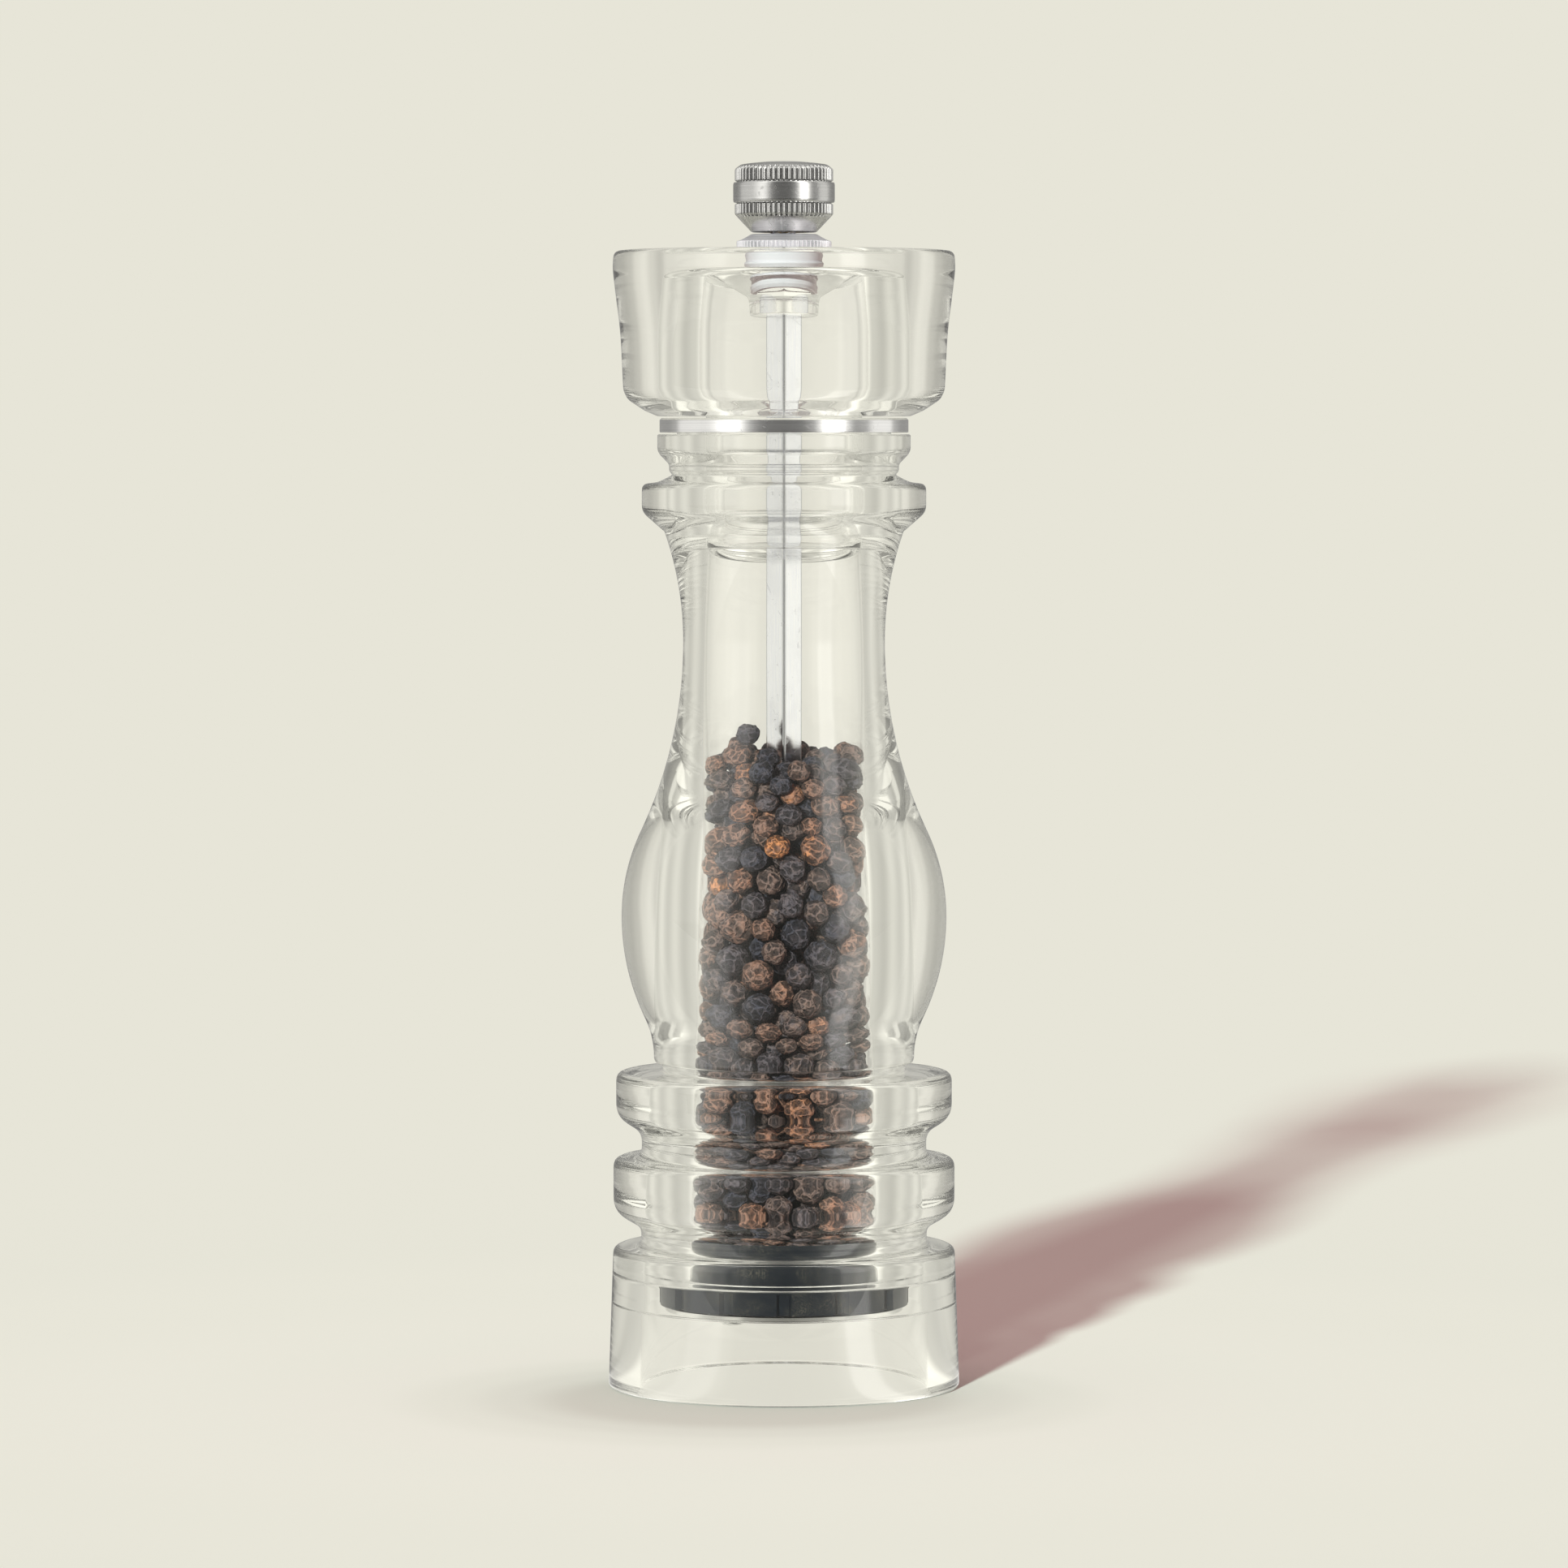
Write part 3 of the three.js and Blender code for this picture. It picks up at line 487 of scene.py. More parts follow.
lean = place(tree, "ShaderNodeVectorMath", inputs, operation="DOT_PRODUCT").outputs["Value"]
enters = maths(tree, "SUBTRACT", 1.0, surface["Backfacing"])
from_table = maths(tree, "MULTIPLY", enters, spread(tree, lean, 0.1, 0.5))
how_high = place(tree, "ShaderNodeSeparateXYZ", {"Vector": spot}).outputs["Z"]
outside_tint = ramp(tree, maths(tree, "MULTIPLY", how_high, 1 / FULL_TINT_HEIGHT), OUTSIDE_TINTS)
tint = blended(tree, from_table, INSIDE_TINT, outside_tint)
straight = place(tree, "ShaderNodeBsdfTransparent", {"Color": tint})
shadow_ray = place(tree, "ShaderNodeLightPath").outputs["Is Shadow Ray"]
inputs = {0: shadow_ray, 1: shader.outputs["BSDF"], 2: straight.outputs["BSDF"]}
mixed = place(tree, "ShaderNodeMixShader", inputs)
tree.links.new(mixed.outputs["Shader"], output.inputs["Surface"])
print("finish:", acrylic.name)

# %% [markdown]
# ## Metals
#
# The metal pieces differ in how they were worked. The neck ring and the knob were turned, so light
# is drawn out along their height by rings too fine to see: the highlight is made anisotropic about
# the Z axis. The shaft was drawn through a die and has fine lines along its length. The burrs are
# hardened dark steel. One function makes all the turned metals, and the shaft's is made by hand.
#
# The collar is of a brighter metal. Its spigot, below the rim, is seen through the acrylic, and there it is
# painted lighter and pinkish: it gets another colour and less of a mirror by height, so that it scatters
# more of the lamp and the fill. The lighter look is painted light.

# %% Turned metals
def turned_metal(name, colour, roughness, drawn_out, rings_per_mm, depth, worn, metallic=1.0):
    """A turned metal with lathe rings, smudges, scratches and rubbed corners."""
    material, tree, shader, output = new_finish(name)
    rings = use_group(tree, turning_marks, rings_per_mm=rings_per_mm)["Marks"]
    smudge = use_group(tree, smudges, share=0.1)["Smudge"]
    scratch = use_group(tree, hair_scratches, per_mm=1.2, share=0.12)["Scratches"]
    corner = use_group(tree, rubbed_corners, amount=worn)["Rubbed"]
    darker = [0.86 * channel for channel in colour]
    tint = blended(tree, spread(tree, rings, 0.35, 0.65), darker, colour)
    tint = blended(tree, corner, tint, [min(1.0, 1.15 * channel) for channel in colour])
    rough = maths(tree, "ADD", maths(tree, "ADD", smudge, scratch), roughness)
    tree.links.new(tint, shader.inputs["Base Color"])
    tree.links.new(rough, shader.inputs["Roughness"])
    tree.links.new(bump(tree, rings, depth * MM, 0.5), shader.inputs["Normal"])
    tangent = place(tree, "ShaderNodeTangent", direction_type="RADIAL", axis="Z").outputs["Tangent"]
    tree.links.new(tangent, shader.inputs["Tangent"])
    shader.inputs["Metallic"].default_value = metallic
    shader.inputs["Anisotropic"].default_value = drawn_out
    tree.links.new(shader.outputs["BSDF"], output.inputs["Surface"])
    print("finish:", name)
    return material


polished_steel = turned_metal("polished_steel", (0.88, 0.88, 0.88), 0.13, 0.3, 9.0, 0.003, 0.6)
satin_metal = turned_metal("satin_metal", (0.6, 0.6, 0.595), 0.2, 0.3, 7.0, 0.004, 0.8)
bright_metal = turned_metal("bright_metal", (0.9, 0.875, 0.92), 0.4, 0.2, 7.0, 0.004, 0.5, metallic=0.9)
brass = turned_metal("brass", (0.72, 0.52, 0.24), 0.25, 0.3, 6.0, 0.005, 0.5)
burr_steel = turned_metal("burr_steel", (0.13, 0.13, 0.14), 0.36, 0.1, 3.0, 0.008, 1.0)

# %% The collar's spigot is painted lighter than its rim
SPIGOT_TOP = 0.204
SPIGOT_PAINTED_LIGHT_COLOUR = (0.84, 0.75, 0.78)

tree = bright_metal.node_tree
shader = tree.nodes["Principled BSDF"]
spot = place(tree, "ShaderNodeTexCoord").outputs["Object"]
level = place(tree, "ShaderNodeSeparateXYZ", {"Vector": spot}).outputs["Z"]
# Painted light: below the rim the colour turns pinkish and the metal less of a mirror, so the spigot looks
# lighter.
in_spigot = spread(tree, level, SPIGOT_TOP, SPIGOT_TOP + 0.0004, 1.0, 0.0)
rim_colour = shader.inputs["Base Color"].links[0].from_socket
tint = blended(tree, in_spigot, rim_colour, SPIGOT_PAINTED_LIGHT_COLOUR)
tree.links.new(tint, shader.inputs["Base Color"])
tree.links.new(spread(tree, in_spigot, 0.0, 1.0, 0.9, 0.4), shader.inputs["Metallic"])
print("finish changed:", bright_metal.name)

# %% The drawn shaft
satin_aluminium, tree, shader, output = new_finish("satin_aluminium")
spot = place(tree, "ShaderNodeTexCoord").outputs["Object"]
along = place(tree, "ShaderNodeVectorMath", {0: spot, 1: (1.0, 1.0, 0.02)}, operation="MULTIPLY")
inputs = {"Vector": along.outputs["Vector"], "Scale": 6000.0, "Detail": 3.0}
lines = place(tree, "ShaderNodeTexNoise", inputs).outputs["Fac"]
smudge = use_group(tree, smudges, per_mm=0.15, share=0.12)["Smudge"]
scratch = use_group(tree, hair_scratches, per_mm=1.0, share=0.15)["Scratches"]
tint = blended(tree, spread(tree, lines, 0.3, 0.7), (0.88, 0.895, 0.98), (0.94, 0.95, 1.0))
rough = maths(tree, "ADD", maths(tree, "ADD", smudge, scratch), 0.15)
tree.links.new(tint, shader.inputs["Base Color"])
tree.links.new(rough, shader.inputs["Roughness"])
tree.links.new(bump(tree, lines, 0.01 * MM, 0.4), shader.inputs["Normal"])
shader.inputs["Metallic"].default_value = 1.0
tree.links.new(shader.outputs["BSDF"], output.inputs["Surface"])
print("finish:", satin_aluminium.name)

# %% [markdown]
# ## Plastics
#
# The grinder housing is moulded in a dark slate plastic with a very fine grain, and the sleeve in a
# white bearing plastic. Both have pepper dust on them, which is paler than the housing and darker
# than the sleeve, and makes them duller where it lies.

# %% Moulded plastics
def moulded_plastic(name, colour, roughness, dusty, dust_colour):
    """A moulded plastic with a fine grain, rubbed corners and pepper dust."""
    material, tree, shader, output = new_finish(name)
    spot = place(tree, "ShaderNodeTexCoord").outputs["Object"]
    inputs = {"Vector": spot, "Scale": 7000.0, "Detail": 2.0}
    grain = place(tree, "ShaderNodeTexNoise", inputs).outputs["Fac"]
    dust = use_group(tree, pepper_dust, amount=dusty)["Dust"]
    corner = use_group(tree, rubbed_corners, amount=0.35)["Rubbed"]
    scratch = use_group(tree, hair_scratches, per_mm=0.9, share=0.2)["Scratches"]
    paler = [min(1.0, 1.9 * channel + 0.02) for channel in colour]
    tint = blended(tree, corner, colour, paler)
    tint = blended(tree, scratch, tint, paler)
    tint = blended(tree, dust, tint, dust_colour)
    rough = maths(tree, "ADD", maths(tree, "MULTIPLY", dust, 0.3), roughness)
    tree.links.new(tint, shader.inputs["Base Color"])
    tree.links.new(maths(tree, "ADD", rough, scratch), shader.inputs["Roughness"])
    tree.links.new(bump(tree, grain, 0.02 * MM, 0.35), shader.inputs["Normal"])
    tree.links.new(shader.outputs["BSDF"], output.inputs["Surface"])
    print("finish:", name)
    return material


black_plastic = moulded_plastic("black_plastic", (0.005, 0.0068, 0.0105), 0.3, 0.5, (0.19, 0.15, 0.11))
white_plastic = moulded_plastic("white_plastic", (0.74, 0.74, 0.7), 0.42, 0.5, (0.3, 0.22, 0.15))

# %% [markdown]
# ## The skin of a peppercorn
#
# A dried peppercorn is a wrinkled berry. Its ridges are brown to grey, and the hollows between them are
# painted nearly black, as painted shade in the creases. Every corn has its own tone, and a few are orange
# or tan.
# The corns are made in bulk further down, and each vertex carries two numbers for this finish: how
# far up a ridge it is, and the tone of its corn. Two nets of creases, one of folds and one of small
# wrinkles, are added in the material. Their cells are bent by noise, so that no two look alike.

# %% Peppercorn skin
TONES = [
    (0.0, (0.058, 0.051, 0.066)),
    (0.25, (0.112, 0.084, 0.092)),
    (0.5, (0.196, 0.118, 0.100)),
    (0.75, (0.285, 0.142, 0.104)),
    (0.9, (0.370, 0.160, 0.102)),
    (1.0, (0.560, 0.205, 0.085)),
]

pepper_skin, tree, shader, output = new_finish("peppercorn")
spot = place(tree, "ShaderNodeTexCoord").outputs["Object"]
ridge = place(tree, "ShaderNodeAttribute", attribute_name="ridge").outputs["Fac"]
tone = place(tree, "ShaderNodeAttribute", attribute_name="tone").outputs["Fac"]
mottle = place(tree, "ShaderNodeTexNoise", {"Vector": spot, "Scale": 900.0, "Detail": 3.0}).outputs["Fac"]
mottled = maths(tree, "ADD", tone, spread(tree, mottle, 0.3, 0.7, -0.1, 0.1))
skin = ramp(tree, mottled, TONES)
bent = place(tree, "ShaderNodeTexNoise", {"Vector": spot, "Scale": 800.0, "Detail": 2.0}).outputs["Color"]
twisted = place(tree, "ShaderNodeVectorMath", {0: bent, 1: (0.0016, 0.0016, 0.0016), 2: spot},
                operation="MULTIPLY_ADD").outputs["Vector"]
creases = []
for per_metre, width in ((520.0, 0.16), (1400.0, 0.24)):
    inputs = {"Vector": twisted, "Scale": per_metre}
    edges = place(tree, "ShaderNodeTexVoronoi", inputs, feature="DISTANCE_TO_EDGE")
    creases.append(spread(tree, edges.outputs["Distance"], 0.0, width, 1.0, 0.0))
folds, wrinkles = creases
raised = maths(tree, "MAXIMUM", folds, maths(tree, "MULTIPLY", wrinkles, 0.22))
raised = maths(tree, "MAXIMUM", maths(tree, "POWER", ridge, 2.0), raised)
# Painted shade: away from the ridges and folds the skin is darkened nearly to black.
hollow = blended(tree, 0.93, skin, (0.006, 0.005, 0.006))
tree.links.new(blended(tree, raised, hollow, skin), shader.inputs["Base Color"])
tree.links.new(spread(tree, raised, 0.0, 1.0, 0.68, 0.46), shader.inputs["Roughness"])
height = maths(tree, "ADD", maths(tree, "MULTIPLY", wrinkles, 0.4), maths(tree, "MULTIPLY", mottle, 0.5))
height = maths(tree, "ADD", height, folds)
tree.links.new(bump(tree, height, 0.2 * MM, 0.9), shader.inputs["Normal"])
tree.links.new(shader.outputs["BSDF"], output.inputs["Surface"])
print("finish:", pepper_skin.name)

# %% All finishes, by the slot that they fill in the record
FINISHES = {
    "clear_acrylic": acrylic,
    "polished_steel": polished_steel,
    "satin_metal": satin_metal,
    "satin_aluminium": satin_aluminium,
    "brass": brass,
    "black_plastic": black_plastic,
    "white_plastic": white_plastic,
    "burr_steel": burr_steel,
    "peppercorn": pepper_skin,
}
print("finishes:", len(FINISHES))

# %% [markdown]
# ## Turning a shape
#
# Nearly every piece of the mill was made on a lathe or moulded as if it had been. Blender's Spin tool
# or Screw modifier would do, but both leave every corner of the profile sharp, and on clear acrylic a
# sharp corner gives itself away at once. So the profile is written as corners with a fillet each. The
# fillets are drawn as short curves, with a support point just beyond each end, which keeps smooth
# shading from bleeding into the straight walls. Then the profile is swept about the Z axis.

# %% Round the corners of a profile
SUPPORT = 1.25  # where the support point sits, in fillets from the corner


def rounded(corners, steps=5):
    """The points of a closed profile whose corners are (radius, height) or (radius, height, fillet)."""
    places = [np.array(corner[:2], float) for corner in corners]
    points = []
    for i, corner in enumerate(corners):
        here = places[i]
        fillet = corner[2] if len(corner) > 2 else 0
        if fillet == 0:
            points.append(tuple(here))
            continue
        before, after = places[i - 1] - here, places[(i + 1) % len(places)] - here
        lengths = np.linalg.norm(before), np.linalg.norm(after)
        fillet = min(fillet, 0.4 * lengths[0], 0.4 * lengths[1])
        start, end = before / lengths[0] * fillet, after / lengths[1] * fillet
        points.append(tuple(here + SUPPORT * start))
        for share in np.linspace(0, 1, steps + 1):
            points.append(tuple(here + (1 - share) ** 2 * start + share**2 * end))
        points.append(tuple(here + SUPPORT * end))
    return points


# %% Sweep a profile about the Z axis
def turned(name, profile, columns=192, shape=None, angles=None):
    """A closed mesh from a profile in millimetres. Shape may change each point's radius and angle."""
    if angles is None:
        angles = np.arange(columns) * 2 * np.pi / columns
    columns = len(angles)
    profile = np.array(profile)
    radius = np.repeat(profile[:, :1], columns, axis=1)
    height = np.repeat(profile[:, 1:2], columns, axis=1)
    turn = np.repeat(np.array(angles)[None, :], len(profile), axis=0)
    on_axis = profile[:, 0] < 1e-6
    if shape:
        radius, turn = shape(radius, height, turn)
    grid = np.stack([radius * np.cos(turn), radius * np.sin(turn), height], axis=2) * MM
    points, index = [], []
    for row, alone in zip(grid, on_axis):
        index.append([len(points)] * columns if alone else range(len(points), len(points) + columns))
        points.extend(row[:1].tolist() if alone else row.tolist())
    faces = []
    for i in range(len(profile)):
        lower, upper = index[i], index[(i + 1) % len(profile)]
        for j in range(columns):
            k = (j + 1) % columns
            corners = [lower[j], lower[k], upper[k], upper[j]]
            face = list(dict.fromkeys(corners))
            if len(face) > 2:
                faces.append(face)
    mesh = bpy.data.meshes.new(name)
    mesh.from_pydata(points, [], faces)
    mesh.shade_smooth()
    mesh.set_sharp_from_angle(angle=math.radians(40))
    piece = bpy.data.objects.new(name, mesh)
    scene.collection.objects.link(piece)
    return piece


# %% Fit a finished piece
def dress(piece, finish, *nodes, material=None):
    """Gives a piece its finish, and hides the CAD nodes that it stands for."""
    piece.data.materials.clear()
    piece.data.materials.append(material or FINISHES[finish])
    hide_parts(*nodes)


def fit(piece, body, finish, *nodes, material=None):
    """Dresses a piece and lets it ride a body."""
    dress(piece, finish, *nodes, material=material)
    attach(piece, body)
    print(piece.name, "rides", body, "-", len(piece.data.polygons), "faces")


# %% [markdown]
# ## The body
#
# The body is one thick piece of clear acrylic. From the table up it has a plain foot with a recess
# underneath, two heavy beads with deep grooves between them, a belly, a slim neck, a thin bead and a
# collar, and a short spigot for the metal ring. Inside is a chamber that narrows slightly upwards.
#
# The belly and the neck are five arcs that run smoothly into each other. Arcs are used, and not a
# free curve, because a lathe hand would set them out with a compass, and reflections flow over a
# join between tangent arcs without a kink.

# %% The curve of belly and neck
BELLY = {"radius": 29.2, "z": 84.6, "above": 36, "below": 42}
BELLY_FOOT = (23.4, 59.2)
NECK = {"radius": 18.1, "z": 134, "above": 60}
NECK_END = 154.7


def hollow_round(radius, z, belly_round):
    """The radius of the hollow arc that is narrowest at a given place and touches the belly's arc."""
    side = radius - (BELLY["radius"] - belly_round)
    rise = z - BELLY["z"]
    return (side**2 + rise**2 - belly_round**2) / (2 * (belly_round - side))


def arc(centre, size, start, end, spacing=1.0):
    """Points on an arc, about one a millimetre, without the last one."""
    count = max(3, round(abs(end - start) * size / spacing))
    angles = np.linspace(start, end, count, endpoint=False)
    return [(centre[0] + size * math.cos(a), centre[1] + size * math.sin(a)) for a in angles]


def belly_and_neck():
    """The outline from the belly's foot up to the underside of the neck bead."""
    foot_round = hollow_round(*BELLY_FOOT, BELLY["below"])
    neck_round = hollow_round(NECK["radius"], NECK["z"], BELLY["above"])
    low_belly = (BELLY["radius"] - BELLY["below"], BELLY["z"])
    high_belly = (BELLY["radius"] - BELLY["above"], BELLY["z"])
    foot = (BELLY_FOOT[0] + foot_round, BELLY_FOOT[1])
    low_neck = (NECK["radius"] + neck_round, NECK["z"])
    high_neck = (NECK["radius"] + NECK["above"], NECK["z"])
    low_tilt = math.atan2(foot[1] - low_belly[1], foot[0] - low_belly[0])
    high_tilt = math.atan2(low_neck[1] - high_belly[1], low_neck[0] - high_belly[0])
    neck_end = math.asin((NECK_END - NECK["z"]) / NECK["above"])
    return [
        *arc(foot, foot_round, math.pi, math.pi + low_tilt),
        *arc(low_belly, BELLY["below"], low_tilt, 0),
        *arc(high_belly, BELLY["above"], 0, high_tilt),
        *arc(low_neck, neck_round, math.pi + high_tilt, math.pi),
        *arc(high_neck, NECK["above"], math.pi, math.pi - neck_end),
    ]


print("points on belly and neck:", len(belly_and_neck()))

# %% Body
BODY_OUTSIDE_BELOW = [
    (26, 0, 0.25), (31.6, 0, 0.7), (30.75, 25.2, 1.4), (25.7, 25.35, 1.3), (25.7, 28.7, 1.3),
    (30.7, 31.6, 2.4), (30.7, 41.1, 1.6), (25.6, 41.3, 1.8), (25.6, 45.8, 1.8),
    (30.2, 48.7, 2.4), (30.2, 56.6, 1.6), (21.8, 56.8, 0.5), (21.8, 58.4, 0.3), (23.2, 58.4, 0.5),
]
BODY_OUTSIDE_ABOVE = [
    (25.5, 157.3, 1.2), (25.5, 162.3, 1.3), (22.6, 162.6, 0.8), (20, 163.9, 0.6), (20.6, 164.6, 0.3),
    (20.6, 165.8, 0.5), (22.7, 168, 0.9), (22.7, 171.2, 0.4), (19.2, 171.2), (19.2, 173.8, 0.3),
]
BODY_INSIDE = [
    (14.3, 173.8, 0.3), (14.3, 151.7, 0.3), (13.85, 151.7, 0.15), (17, 20, 0.3), (25.1, 20, 0.6),
    (25.1, 14.5, 0.2), (25.7, 14.5, 0.2),
]
body = turned(
    "mill_body",
    rounded([*BODY_OUTSIDE_BELOW, *belly_and_neck(), *BODY_OUTSIDE_ABOVE, *BODY_INSIDE]),
    columns=256,
)
fit(body, "body", "clear_acrylic", "body_shell")

# %% [markdown]
# ## The neck ring
#
# A bright metal ring sits on the body's spigot and hides the joint between body and head. Its upper
# edge is chamfered, which shows as a thin dark line under the head.

# %% Neck ring
neck_ring = turned("neck_ring_piece", rounded([
    (19.5, 171.5, 0.15), (22.3, 171.5, 0.2), (22.3, 173.75, 0.1), (21.95, 174.1, 0.1), (19.5, 174.1, 0.15),
]))
fit(neck_ring, "body", "polished_steel", "neck_ring")

# %% [markdown]
# ## Square holes and bars
#
# The shaft is square, and so are the holes that it passes through. A square can still be swept: at
# each angle the wall of a square is as far from the axis as its half side divided by a cosine. Its
# corners point to the front, back and sides, so from the front two faces of the shaft are seen.

# %% A square wall
QUARTER = math.pi / 2


def square_reach(turn):
    """How far a square's wall is from its centre at an angle, in half sides."""
    return 1 / np.cos(np.mod(turn, QUARTER) - QUARTER / 2)


def square_bore(half_side):
    """A shape that makes the wall with this radius square and leaves the rest round."""
    def shape(radius, height, turn):
        return np.where(np.abs(radius - half_side) < 1e-6, radius * square_reach(turn), radius), turn
    return shape


def square_angles(half_side, fillet=0.5):
    """The angles and the reach of a square bar's section with slightly rounded edges."""
    tip = half_side * math.sqrt(2)
    section = rounded([(tip, 0, fillet), (0, tip, fillet), (-tip, 0, fillet), (0, -tip, fillet)], steps=3)
    section = np.array(section)
    angles = np.mod(np.arctan2(section[:, 1], section[:, 0]), 2 * math.pi)
    order = np.argsort(angles)
    return angles[order], np.hypot(section[order, 0], section[order, 1]) / half_side


print("columns round the bar:", len(square_angles(2.38)[0]))

# %% [markdown]
# ## The head
#
# The head is a flared cap, also of clear acrylic. Its hollow opens downwards, and a boss with the
# square hole hangs from the ceiling. The ceiling slopes up from the boss to the wall, and through the
# side that slope shows as two bright wings. Large fillets keep these wings and the streaks beside
# them soft. A clear plug below the head centres it in the body.

# %% Head and plug
HOLE_HALF = 2.55
head = turned("mill_head", rounded([
    (HOLE_HALF, 194.0), (6.1, 194.0, 0.4), (6.4, 197.6, 0.8), (11.2, 200.2, 2.0), (14.5, 201.4, 2.2),
    (15.2, 192, 4.0), (15.2, 174.4, 0.3),
    (22.6, 174.4, 0.3), (25, 175.4, 0.8), (28, 177.4, 1.2), (28.8, 179, 1.0), (29.3, 189.5, 4.0),
    (30.2, 196.5, 2.0), (30.7, 200.8, 1.2), (30.5, 204, 1.4), (4.4, 204), (4.4, 200.9),
    (HOLE_HALF, 200.9),
]), columns=256, shape=square_bore(HOLE_HALF))
fit(head, "head", "clear_acrylic", "head_shell")

plug = turned("head_plug_piece", rounded([
    (12.2, 152, 0.5), (13.6, 152, 0.4), (14, 152.9, 0.4), (14, 174.4, 0.1), (14.85, 174.4, 0.15),
    (14.85, 178, 0.3), (13.8, 178, 0.2), (12.5, 176.8, 0.4), (12.2, 175.6, 0.3),
]))
fit(plug, "head", "clear_acrylic", "head_plug")

# %% [markdown]
# ## The collar
#
# The collar is pressed into the head with a barbed spigot, and the knob bears on it. The spigot is a
# little wider than its hole, so its barbs bite into the acrylic and no gap shows. Its rim is finely
# serrated. The serrations are part of the sweep: the radius of the rim rises and falls with the
# angle, which costs nothing extra, and leaves a clean mesh where cutting them out would not.

# %% Ribs round a rim
def ribs(count, depth, inner, *spans):
    """A shape with grooves in a rim: outside a radius, between pairs of heights."""
    def shape(radius, height, turn):
        groove = (0.5 - 0.5 * np.cos(count * turn)) ** 1.4
        inside = np.zeros(radius.shape, bool)
        for low, high in spans:
            inside |= (height > low) & (height < high)
        return np.where((radius > inner) & inside, radius - depth * groove, radius), turn
    return shape


# %% Collar
SERRATIONS = 64
collar = turned("knob_collar", rounded([
    (3.7, 200.7, 0.1), (4.25, 200.7, 0.1), (4.8, 201.6, 0.1), (4.55, 201.7), (4.8, 202.6, 0.1),
    (4.55, 202.7), (4.55, 204.3, 0.1), (8.5, 204.3, 0.15), (8.5, 205.7, 0.2), (7.7, 205.95, 0.15),
    (6.8, 206.4, 0.3), (5.9, 206.95, 0.2), (3.7, 206.95, 0.15),
]), columns=8 * SERRATIONS, shape=ribs(SERRATIONS, 0.3, 8.0, (204.2, 205.8)))
fit(collar, "head", "satin_metal", "head_collar", material=bright_metal)

# %% [markdown]
# ## The knob
#
# The knob screws on to the top of the shaft. It has two fluted rims with a plain band between them,
# a cone down to the collar and a polished disc in its top. Inside is a brass insert with the thread.

# %% Knob body
FLUTES = 56
knob = turned("knob_fluted", rounded([
    (0, 216.6), (3.0, 216.6, 0.1), (3.0, 214.6), (4.25, 214.6), (4.25, 207.3, 0.1), (5.8, 207.3, 0.25),
    (8.25, 209.9, 0.3), (8.8, 210.5, 0.25), (8.8, 212.3, 0.15), (8.4, 212.5), (8.4, 216.3),
    (8.8, 216.5, 0.15), (8.8, 218.6, 0.35), (7.7, 219.4, 0.4), (5.8, 219.65, 0.15), (5.15, 219.65, 0.1),
    (5.15, 218.8), (0, 218.8),
]), columns=8 * FLUTES, shape=ribs(FLUTES, 0.42, 8.42, (209.9, 212.45), (216.35, 219.2)))
fit(knob, "knob", "satin_metal", "knob_body")

# %% Knob band and top disc
band = turned("knob_plain_band", rounded([
    (8.55, 212.62, 0.1), (9.0, 212.62, 0.12), (9.1, 213.0, 0.15), (9.1, 215.8, 0.15),
    (9.0, 216.18, 0.12), (8.55, 216.18, 0.1),
]), columns=256)
fit(band, "knob", "satin_metal", "knob_band")

disc = turned("knob_disc", rounded([
    (0, 219.1), (5, 219.1, 0.1), (5, 219.72, 0.2), (3.2, 219.9, 0.6), (0, 219.98),
]), columns=128)
fit(disc, "knob", "polished_steel", "knob_top_disc")

# %% [markdown]
# ## Threads
#
# The stud at the top of the shaft has an M5 thread with a 0.8 mm pitch, and so has the insert. A
# thread is a ridge that climbs one pitch per turn. Swept as a shape, the radius depends on the height
# less the angle's share of a pitch, so the ridge winds round by itself. Many thin rows are needed.

# %% A thread as a shape
PITCH = 0.8


def thread(depth, low, high, reach):
    """A shape with a right-hand thread cut into a wall near a radius, between two heights."""
    def shape(radius, height, turn):
        phase = np.mod(height / PITCH - turn / (2 * np.pi), 1)
        ridge = np.clip(np.abs(2 * phase - 1) * 1.3 - 0.15, 0, 1)
        fade = np.clip(np.minimum(height - low, high - height) / 0.5, 0, 1)
        return np.where(np.abs(radius - reach) < 1e-6, radius - depth * ridge * fade, radius), turn
    return shape


def wall(radius, low, high, spacing=0.08):
    """The points of an upright wall, close enough together to carry a thread."""
    return [(radius, z) for z in np.arange(low, high, spacing if high > low else -spacing)]


# %% Shaft and stud
SHAFT_HALF = 2.38
angles, reach = square_angles(SHAFT_HALF)
bar = turned("shaft_bar", rounded([
    (0, 17.3), (SHAFT_HALF, 17.3, 0.2), (SHAFT_HALF, 202.35, 0.2), (0, 202.35),
]), shape=lambda radius, height, turn: (radius * reach[None, :], turn), angles=angles)
fit(bar, "spindle", "satin_aluminium", "shaft")

stud = turned("shaft_stud", [
    (0, 202.36), (2.45, 202.36), *wall(2.45, 202.6, 214.8), (2.45, 214.8), (1.85, 215.4), (0, 215.4),
], columns=96, shape=thread(0.42, 203.0, 215.2, 2.45))
fit(stud, "spindle", "satin_aluminium", "shaft")

# %% Brass insert
insert = turned("knob_insert", [
    (4.1, 207.35), (4.1, 214.3), *wall(2.95, 214.25, 207.4), (2.95, 207.35),
], columns=96, shape=thread(0.38, 207.3, 214.35, 2.95))
fit(insert, "knob", "brass", "knob_thread_insert")

# %% [markdown]
# ## The grinder housing
#
# A flanged plastic tube is pushed into the body from below. Its mouth is a funnel that feeds the
# burrs. Four arms hold a hub in the middle, which guides the shaft and houses the spring. The tube
# and hub are turned, the arms are plain blocks, and the three are joined into one solid with a
# Boolean modifier, which is then applied. Joined this way there are no faces left inside.

